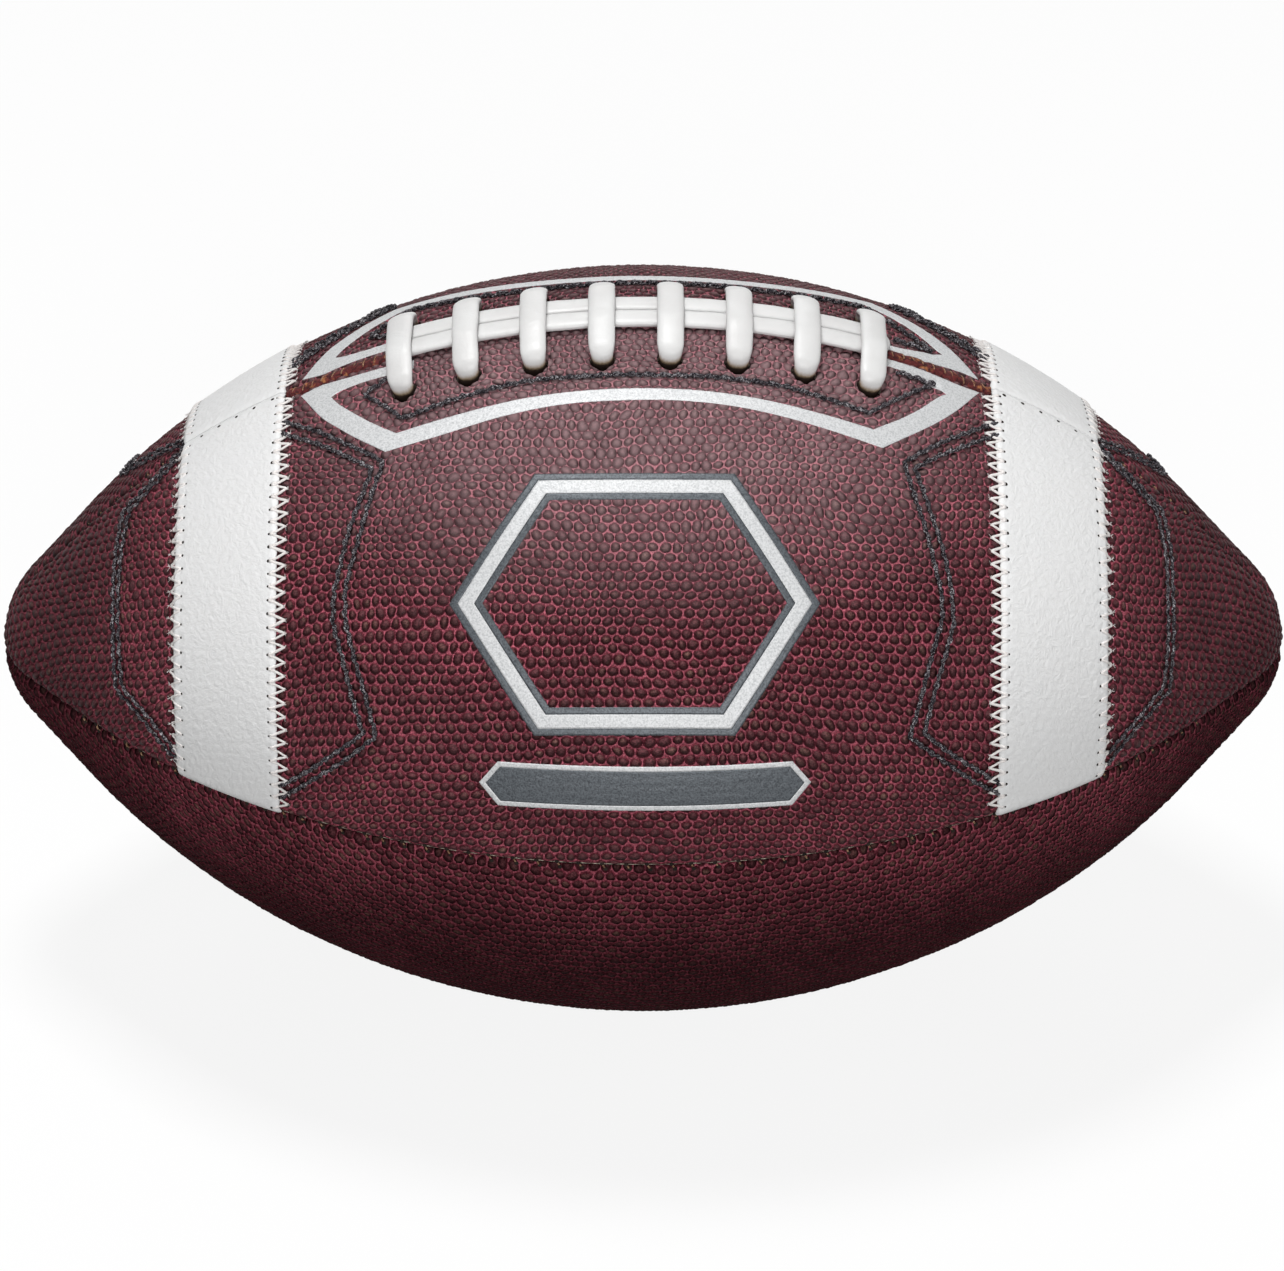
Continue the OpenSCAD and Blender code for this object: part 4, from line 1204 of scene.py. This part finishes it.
zigzag = {
    "radius": 0.32, "pressed": 0.20, "flat": 0.8, "thinEnd": 0.25, "thinFrom": 0.7, "uneven": (0.03, 0.07),
    "over": (0.10, 0.14),  # height at the stripe's edge, and how far it falls beyond
    "seamDrop": 0.6, "holeDrop": 0.5,
    "shares": [0, 0.05, 0.11, 0.2, 0.3, 0.4, 0.52, 0.66, 0.8, 0.9, 0.97],
    "ends": (0.15, -0.35),
    "hairs": 4, "hairRadius": 0.055, "hairReach": (0.1, 0.7), "hairRise": (0.1, 0.35), "hairStray": 0.35,
    "hole": 0.30, "holeBack": 0.30, "holeDepth": 0.25, "holeUneven": 0.15,
}


def zigzagTubes(quarter, stitches):
    tubes, hairs, holes = [], [], []
    share = np.array(zigzag["shares"])
    for edge, out, (needles, tips) in stitches:
        needleInside, tipOutside = stitchReach(edge, out)
        bend = needleInside / (needleInside + tipOutside)  # where the thread goes over the edge
        inward = needleInside * (1 - share / bend)
        # the thread lies pressed into the stripe and down over its edge
        lift = stripe["top"] - zigzag["pressed"] - edgeRound(inward)
        level, fall = zigzag["over"]
        lift = np.where(inward > 0, lift, level - fall * (share - bend) / (1 - bend))
        lift[0], lift[-1] = zigzag["ends"]
        radius = radiusAt(edge)
        start = edge - out * needleInside
        for k, tip in enumerate(tips):
            end = edge + out * (tipOutside + dice.normal(0, stripe["tipStray"]))
            for needle in (needles[k], needles[k + 1]):
                along, side = start + (end - start) * share, needle + (tip - needle) * share
                height = lift * (1 + dice.normal(0, zigzag["uneven"][0]))
                height = height - seamDropAt(along, side, quarter, zigzag["seamDrop"])
                thick = zigzag["radius"] * (1 + dice.normal(0, zigzag["uneven"][1]))
                thick = thick * (1 - zigzag["thinEnd"] * smooth(zigzag["thinFrom"], 1.0, share))
                tubes.append(tubeOn(along, side, height, thick, thick * zigzag["flat"]))
            for _ in range(zigzag["hairs"]):
                far = end + out * dice.uniform(*zigzag["hairReach"])
                away = tip + dice.normal(0, zigzag["hairStray"]) / radius
                t = np.linspace(0, 1, 4)
                along, side = end + (far - end) * t, tip + (away - tip) * t
                rise = dice.uniform(*zigzag["hairRise"]) * t
                hairs.append(tubeOn(along, side, rise, zigzag["hairRadius"]))
        # painted shade of the needle holes along the stripe's edge
        at = start - out * zigzag["holeBack"]
        for needle in needles:
            level = stripe["top"] - zigzag["holeDepth"]
            level = level - seamDropAt(at, needle, quarter, zigzag["holeDrop"])
            holes.append((at, needle, level, zigzag["hole"] * (1 + dice.normal(0, zigzag["holeUneven"]))))
    return tubes, hairs, holes


holeLens = ((1.0, 0.0), (0.6, 0.10), (1.0, -0.1))  # share of the radius and mm up: rim, lid and foot


def addHoles(name, holes, count=10):
    # painted shade of small needle holes, each a dark shallow lens in the surface: place, angle, height,
    # radius
    points, faces = [], []
    turn = np.linspace(0, 2 * math.pi, count, endpoint=False)
    for at, side, level, radius in holes:
        heart, out = onBall(at, side, level), outwardAt(at, side)
        around = np.array([0, -math.cos(side), -math.sin(side)])
        circle = np.cos(turn)[:, None] * np.cross(around, out) + np.sin(turn)[:, None] * around
        rim = len(points)
        for reach, rise in holeLens:
            points += list(heart + radius * reach * circle + rise * out)
        lid, foot = rim + count, rim + 2 * count
        for k in range(count):
            j = (k + 1) % count
            faces += [[rim + k, rim + j, lid + j, lid + k], [foot + k, foot + j, rim + j, rim + k]]
        faces += [[lid + k for k in range(count)], [foot + k for k in reversed(range(count))]]
    return addPiece(name, np.array(points), faces, holeShade)


allHoles = []
for place, (quarter, stitches) in sewnStripes.items():
    tubes, hairs, holes = zigzagTubes(quarter, stitches)
    allHoles += holes
    addTubes(pieceName("zigzag", place), tubes, creamThread)
    addTubes(pieceName("fray", place), hairs, creamThread, sides=3)
# painted shade of the needle holes where the two stripes meet over the lace seam
joinHoles = {"first": 2.6, "last": 1.5, "across": 1.8, "pitch": 4.6, "depth": 0.14, "radius": 0.46}
for sign in (-1, 1):
    start, end = stripe["spans"][sign]
    for at in np.arange(start + joinHoles["first"], end - joinHoles["last"], joinHoles["pitch"]):
        allHoles.append((sign * at, joinHoles["across"] / radiusAt(at),
                         stripe["top"] - joinHoles["depth"], joinHoles["radius"]))
addHoles("needleHoleShade", allHoles)
print("zigzag stitching ready")

foil = {"lift": 0.07, "tuck": 0.22, "column": 0.4}


def addRibbon(name, outer, inner, quarter, material, tucks=(1, 1)):
    # a thin film on the leather between two lines of places, its edges pressed in
    width = np.linalg.norm(onBall(outer[:, 0], outer[:, 1] * degree)
                           - onBall(inner[:, 0], inner[:, 1] * degree), axis=1).max()
    shares = np.linspace(0, 1, max(4, int(width / foil["column"])) + 1)
    shares = np.concatenate([[0], shares, [1] if tucks[1] else []])
    drop = np.zeros(len(shares))
    drop[0], drop[-1] = (foil["tuck"] * tuck for tuck in tucks)
    places = outer[None, :, :] + (inner - outer)[None, :, :] * shares[:, None, None]
    along, side = places[..., 0].ravel(), places[..., 1].ravel() * degree
    height = leatherHeight(along, side, quarter) + foil["lift"] - np.repeat(drop, len(outer))
    points = onBall(along, side, height)
    faces = gridFaces(len(shares), len(outer))
    probe = points[faces[len(faces) // 2]]
    outward = outwardAt(*placeOf(probe[:1]))[0]
    if np.dot(np.cross(probe[1] - probe[0], probe[3] - probe[0]), outward) < 0:
        faces = faces[:, ::-1]
    return addPiece(name, points, faces.tolist(), material)


addRibbon("silverBandFront", *frontBand, "front_top", silverFoil)
addRibbon("silverBandRear", *rearBand, "rear_top", silverFoil)
for i, name in enumerate(("badgeTrimOuter", "badgeLine", "badgeTrimInner")):
    addRibbon(name, *badgeEdges[i:i + 2], "front_top", silverFoil if name == "badgeLine" else charcoalFoil)
addRibbon("barLine", *barEdges[:2], "front_top", silverFoil)
addRibbon("barFill", *barEdges[1:], "front_top", charcoalFoil, (1, 0))
print("foil bands and badge ready")

rope = {
    "stitch": 3.3, "plyTwist": 3.3, "plyReach": 0.25, "plyRadius": 0.36, "noseSize": 0.80,
    "step": 0.30, "sway": 0.26, "swayBack": (0.85, 0.15), "wander": 0.08,
    "rise": 0.52, "sink": 0.40, "hump": 0.7, "pinch": 0.45, "uneven": 0.10, "noseFrom": 100,
}


def ropeTubes(line):
    # a sewn row of thick two-ply thread: it rises over each stitch and dips where the needle went in
    size = rope["noseSize"] if np.abs(line[:, 0]).min() > rope["noseFrom"] else 1.0
    run = spacedRun(line, rope["step"])
    ways = np.arange(len(run)) * rope["step"] + dice.uniform(0, 3)
    along, side = run[:, 0], run[:, 1] * degree
    share = ways / rope["stitch"] % 1
    hump = np.sin(math.pi * share) ** rope["hump"]
    spots, out = onBall(along, side, rope["rise"] * hump - rope["sink"]), outwardAt(along, side)
    across = unit(np.cross(unit(np.gradient(onBall(along, side), axis=0)), out))
    # each stitch lies a little askew, from one side of the row to the other
    on, back = rope["swayBack"]
    askew = rope["sway"] * (np.where(share < on, share / on, (1 - share) / back) - 0.5)
    spots = spots + (askew + rope["wander"] * np.sin(ways / 2.9))[:, None] * across
    tubes = []
    for half in (0, 1):
        turn = 2 * math.pi * ways / rope["plyTwist"] + math.pi * half
        offset = np.cos(turn)[:, None] * across + np.sin(turn)[:, None] * out
        uneven = 1 + rope["uneven"] * np.sin(ways * 1.7 + half) - rope["pinch"] * (1 - hump)
        thick = size * rope["plyRadius"] * uneven
        tubes.append((spots + size * rope["plyReach"] * offset, out, thick, thick))
    return tubes


for half in ("front", "rear"):
    tubes = [tube for line in charcoalLines[half + "_top"] for tube in ropeTubes(line)]
    addTubes(pieceName("charcoalStitching", half), tubes, charcoalThread)
print("charcoal stitching ready")

seamEnd, seamOpen = seamStitches["end"], seamStitches["openTo"]
stitchedSeams = {  # side angle, from, to
    "top_left": (0, -seamEnd, -seamOpen), "top_right": (0, seamOpen, seamEnd),
    "front": (90, -seamEnd, seamEnd), "bottom": (180, -seamEnd, seamEnd), "rear": (-90, -seamEnd, seamEnd),
}


def seamStitchTubes(seam, first, last):
    tubes, holes = [], []
    for at in np.arange(first, last, seamStitches["pitch"]):
        start, end = stripe["spans"][1 if at > 0 else -1]
        if seam == 0 and start - 1 < abs(at) < end + 1:
            continue  # under the stripes
        at = at + dice.normal(0, seamStitches["stray"][0])
        t = np.linspace(-1, 1, 9)
        across = t * seamStitches["reach"] * dice.uniform(*seamStitches["reachSpread"])
        along = at + t * seamStitches["slant"] * dice.uniform(*seamStitches["slantSpread"])
        height = -seamStitches["sink"] - seamStitches["bow"] * t ** 2
        height = height + dice.normal(0, seamStitches["stray"][1])
        side = seam * degree + across / radiusAt(at)
        tubes.append(tubeOn(along, side, height, seamStitches["radius"]))
        # painted shade of the needle holes at both ends of each stitch
        for end in (0, -1):
            holes.append((along[end], side[end], seamStitches["holeLevel"], seamStitches["hole"]))
    return tubes, holes


seamHoleShade = []
for place, run in stitchedSeams.items():
    tubes, holes = seamStitchTubes(*run)
    seamHoleShade += holes
    addTubes(pieceName("seamStitches", place), tubes, tanThread, ("seam_thread_" + place,))
addHoles("seamHoleShade", seamHoleShade)
print("seam stitches ready")

seamRoll = {
    "from": 52.0, "short": 0.4, "halfWidth": 2.2, "rise": 0.42, "edge": -0.95, "under": 0.5,
    "middle": (0.2, 0.8), "swing": (60, 74),  # mm in front of the seam, and where it moves over
    "round": 2.4, "tied": 0.7, "pinch": 0.26, "narrow": 0.06,
    "tie": 4.8, "tieSize": (0.2, 0.16), "tieReach": (0.5, 1.0), "tieStart": (-0.3, 0.3),
    "tieStray": 0.2, "tieSlant": 0.35, "tieHalf": 1.7, "tieFall": 0.9, "tieSunk": 0.1,
}


def rollMiddle(ways):
    start, more = seamRoll["middle"]
    return start + more * smooth(*seamRoll["swing"], ways)


def addSeamRoll(name, sign, rows=110, columns=15):
    # the turned-in edges stand up as a rolled ridge between the lacing and each stripe
    ways = np.linspace(seamRoll["from"], stripe["spans"][sign][0] - seamRoll["short"], rows)
    t = np.linspace(-1, 1, columns)
    along = np.repeat(sign * ways, columns)
    beat = ((ways / seamRoll["tie"] + 0.5) % 1 - 0.5) * seamRoll["tie"]
    tied = bell(beat, seamRoll["tied"])
    half = seamRoll["halfWidth"] * (1 - seamRoll["narrow"] * tied)
    side = (rollMiddle(ways)[:, None] + half[:, None] * t).ravel() / radiusAt(along)
    high = seamRoll["rise"] - seamRoll["pinch"] * tied + 0.05 * np.sin(ways * 2.1 + sign)
    fall = (seamRoll["edge"] - high)[:, None] * np.abs(t) ** seamRoll["round"]
    height = (high[:, None] + fall).ravel()
    points = np.vstack([onBall(along, side, level) for level in (height, height - seamRoll["under"])])
    faces = slabFaces(rows, columns)
    faces = faces if sign > 0 else [face[::-1] for face in faces]
    return addPiece(name, points, faces, rollLeather)


def rollTieTubes(sign):
    tubes = []
    end = stripe["spans"][sign][0] - seamRoll["short"] - 0.5
    for at in np.arange(seamRoll["from"] + seamRoll["tie"] / 2, end, seamRoll["tie"] / 2):
        at = at + dice.normal(0, seamRoll["tieStray"])
        t = np.linspace(-1, 1, 11)
        reach = dice.uniform(*seamRoll["tieReach"])
        share = dice.uniform(*seamRoll["tieStart"]) + reach * t * 0.8
        fall = seamRoll["tieFall"] * np.clip(np.abs(share), 0, 1) ** seamRoll["round"]
        height = seamRoll["rise"] - seamRoll["tieSunk"] - fall
        along = sign * (at + seamRoll["tieSlant"] * t)
        side = (rollMiddle(at) + seamRoll["tieHalf"] * share) / radiusAt(at)
        tubes.append(tubeOn(along, side, height, *seamRoll["tieSize"]))
    return tubes


addSeamRoll("seamRollLeft", -1)
addSeamRoll("seamRollRight", 1)
addTubes("rollTies", rollTieTubes(-1) + rollTieTubes(1), tanThread)
print("rolled seam ends ready")

laceBend = {
    "bend": 1.9, "fold": 3.224, "tail": 8.32, "foldBack": 1.7,  # mm, and strand widths for the last
    "bendSteps": 9, "foldSteps": 14, "innerSteps": 7,
}
strandHeight = lacing["seat"] + lacing["thick"] / 2
crossHeight = strandHeight + lacing["thick"] + lacing["gap"]


def laceRoute():
    # corners of the lace from its first tail to its last: along, around, height, flat angle
    # in and out, bend radius, steps, width in and out
    shift = -lacing["strandShift"]
    strandFront, strandRear = strandPlace + shift, -strandPlace + shift
    insideFront, insideRear = strandFront + lacing["gap"] / 2, strandRear - lacing["gap"] / 2
    deep, squeezed, spread = -lacing["runDepth"], lacing["squeezed"], lacing["strandSpread"]
    bend, reach, wide = laceBend["bend"], lacing["holeReach"], lacing["width"]
    crossFlat = strandPlace + spread / 2

    def corner(along, around, height, flat, radius, width, steps=laceBend["bendSteps"]):
        return (along, around, height, flat, flat, radius, steps, width, width)

    def inner(along, around, flat):
        return corner(along, around, deep, flat, bend, squeezed, laceBend["innerSteps"])

    def fold(along, around, height, flatIn, flatOut, radius, width):
        return (along, around, height, flatIn, flatOut, radius, laceBend["foldSteps"], width, width)

    def shoulder(along, around, *widths):
        return (along, around, strandHeight + lacing["seat"], 0, 0, bend, laceBend["bendSteps"], *widths)

    turnAlong = crossPlaces[-1] - 2 * lacing["gap"]
    spans = 2 * lacing["crossCount"] - 1
    run = [strandEnd + (turnAlong - strandEnd) * k / spans for k in range(1, spans)]
    foldAlong = strandEnd - laceBend["foldBack"] * spread
    stepAlong, stepAround = crossPlaces[0] - foldAlong, -reach - insideRear
    angle = 90 + math.atan2(stepAround, stepAlong) / degree
    route = [corner(strandEnd - laceBend["tail"], insideFront, deep, 90, 0, squeezed),
             inner(strandEnd, insideFront, 90),
             corner(strandEnd, strandFront, strandHeight, 90, bend, spread)]
    route += [corner(at, strandFront, strandHeight, 90, 0, spread) for at in run]
    route += [fold(turnAlong + strandPlace, strandFront, strandHeight, 90, 0, strandPlace, spread),
              fold(turnAlong + strandPlace, strandRear, strandHeight, 0, -90, strandPlace, spread)]
    route += [corner(at, strandRear, strandHeight, -90, 0, spread) for at in reversed(run)]
    route += [corner(strandEnd, strandRear, strandHeight, -90, bend, spread),
              inner(strandEnd, insideRear, -90),
              fold(foldAlong, insideRear, deep, -90, angle, laceBend["fold"], squeezed),
              corner(foldAlong + stepAlong * 0.6, insideRear + stepAround * 0.6, deep, angle, 0, squeezed)]
    for i, at in enumerate(crossPlaces):
        route += [inner(at, -reach, 0 if i else angle), shoulder(at, -reach, lacing["gathered"], wide)]
        route += [corner(at, shift + flat, crossHeight, 0, 0, wide) for flat in (-crossFlat, 0, crossFlat)]
        route += [shoulder(at, reach, wide, lacing["gathered"]), inner(at, reach, 0)]
        if i < lacing["crossCount"] - 1:
            route += [corner(at + lacing["holePitch"] * k / 4, reach * (1 - k / 2), deep, 0, 0, squeezed)
                      for k in (1, 2, 3)]
    route += [corner(crossPlaces[-1], reach + (strandPlace - reach) * share, deep, 0, 0, squeezed)
              for share in (0.5, 1)]
    return route


def laceStops():
    # the route with its corners rounded: place, direction of the flat side, width
    route = laceRoute()
    spots = [onBall(along, around / radiusAt(along), height) for along, around, height, *_ in route]
    stops = []
    for i, (along, around, _, flatIn, flatOut, radius, steps, widthIn, widthOut) in enumerate(route):
        side, lean = around / radiusAt(along), along / bodyRadius
        down = math.sin(lean)
        alongWay = np.array([math.cos(lean), math.sin(side) * down, -math.cos(side) * down])
        aroundWay = np.array([0, -math.cos(side), -math.sin(side)])

        def flatWay(share):
            turn = (flatIn + (flatOut - flatIn) * share) * degree
            return math.cos(turn) * alongWay + math.sin(turn) * aroundWay

        if i in (0, len(route) - 1) or radius == 0:
            stops.append((spots[i], flatWay(0), widthIn))
            continue
        back, on = unit(spots[i - 1] - spots[i]), unit(spots[i + 1] - spots[i])
        half = math.acos(float(np.clip(back @ on, -1, 1))) / 2
        heart = spots[i] + unit(back + on) * radius / math.sin(half)
        arm, sweep = spots[i] + back * radius / math.tan(half) - heart, math.pi - 2 * half
        for share in (k / steps for k in range(steps + 1)):
            bent = arm * math.cos(sweep * share) - back * radius * math.sin(sweep * share)
            stops.append((heart + bent, flatWay(share), widthIn + (widthOut - widthIn) * share))
    return stops


laceForm = {
    "step": 0.6, "sides": 22, "soften": 2, "thick": 2.15, "square": 2.35, "gather": 0.9, "edge": 0.9,
    "uneven": (0.012, 0.010, 0.03),  # two waves of the width and one of the thickness
}


def softened(values):
    return 0.25 * values[:-2] + 0.5 * values[1:-1] + 0.25 * values[2:]


def addLace():
    spots, flats, widths = (np.array(values) for values in zip(*laceStops()))
    ways = np.concatenate([[0], np.cumsum(np.linalg.norm(np.diff(spots, axis=0), axis=1))])
    keep = np.concatenate([[True], np.diff(ways) > 1e-6])
    ways, spots, flats, widths = ways[keep], spots[keep], flats[keep], widths[keep]
    at = np.linspace(0, ways[-1], int(ways[-1] / laceForm["step"]))
    spots, flats = (np.stack([np.interp(at, ways, values[:, k]) for k in range(3)], -1)
                    for values in (spots, flats))
    widths = np.interp(at, ways, widths)
    for _ in range(laceForm["soften"]):
        spots[1:-1], widths[1:-1] = softened(spots), softened(widths)
    way = unit(np.gradient(spots, axis=0))
    wide = unit(flats - way * np.sum(flats * way, axis=1, keepdims=True))
    thin = np.cross(way, wide)
    sides, count = laceForm["sides"], len(spots)
    turn = np.linspace(0, 2 * math.pi, sides, endpoint=False)
    power = 2 / laceForm["square"]
    w, t = (np.sign(wave) * np.abs(wave) ** power for wave in (np.cos(turn), np.sin(turn)))
    # soft plastic never lies quite even
    slow, quick, deep = laceForm["uneven"]
    widths = widths * (1 + slow * np.sin(at / 3.7) + quick * np.sin(at / 1.9 + 1))
    # it gathers to a rounder form where it goes down through a hole
    thick = laceForm["thick"] * (1 + deep * np.sin(at / 2.6 + 2))
    thick = thick + laceForm["gather"] * np.clip(lacing["squeezed"] - widths, 0, None)
    ring = (spots[:, None, :] + wide[:, None, :] * (widths[:, None] / 2 * w)[:, :, None]
            + thin[:, None, :] * (thick[:, None] / 2 * t)[:, :, None]).reshape(-1, 3)
    faces = gridFaces(count, sides, closed=True).tolist()
    faces += [list(reversed(range(sides))), [(count - 1) * sides + k for k in range(sides)]]
    piece = addPiece("laceStrip", ring, faces, laceVinyl, ("lace",))
    # the grime and painted shade read how high each point is, the flat edges a little lower, and how far out
    along, side = placeOf(ring)
    height = np.sum((ring - onBall(along, side)) * outwardAt(along, side), axis=1)
    height = height - laceForm["edge"] * np.tile(np.abs(w) ** 3, count)
    keepPlace(piece, np.stack([height, np.abs(side * radiusAt(along))], -1))
    print("lace ready,", round(float(at[-1])), "mm long")


addLace()

innerFinishes = (
    (makeWeave("liningCloth", (0.36, 0.31, 0.24), (0.66, 0.60, 0.50), 0.0011),
     ["lining_" + quarter for quarter in quarters]),
    (makeWeave("tongueDuck", (0.17, 0.15, 0.13), (0.34, 0.31, 0.27), 0.0016), ("tongue",)),
    (facingHide, ("lace_facing_front", "lace_facing_rear")),
    (makeRubber("bladderRubber", (0.018, 0.018, 0.019), (0.07, 0.068, 0.065), 0.55),
     ("bladder", "valve_patch")),
    (makeRubber("valveRubber", (0.012, 0.012, 0.012), (0.045, 0.043, 0.042), 0.45), ("valve_housing",)),
    (makeRubber("plugRubber", (0.10, 0.018, 0.018), (0.22, 0.05, 0.045), 0.5), ("valve_plug",)),
)
for finish, names in innerFinishes:
    for name in names:
        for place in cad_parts[name].material_slots:
            place.material = finish
print("inner parts finished")

print("football built")
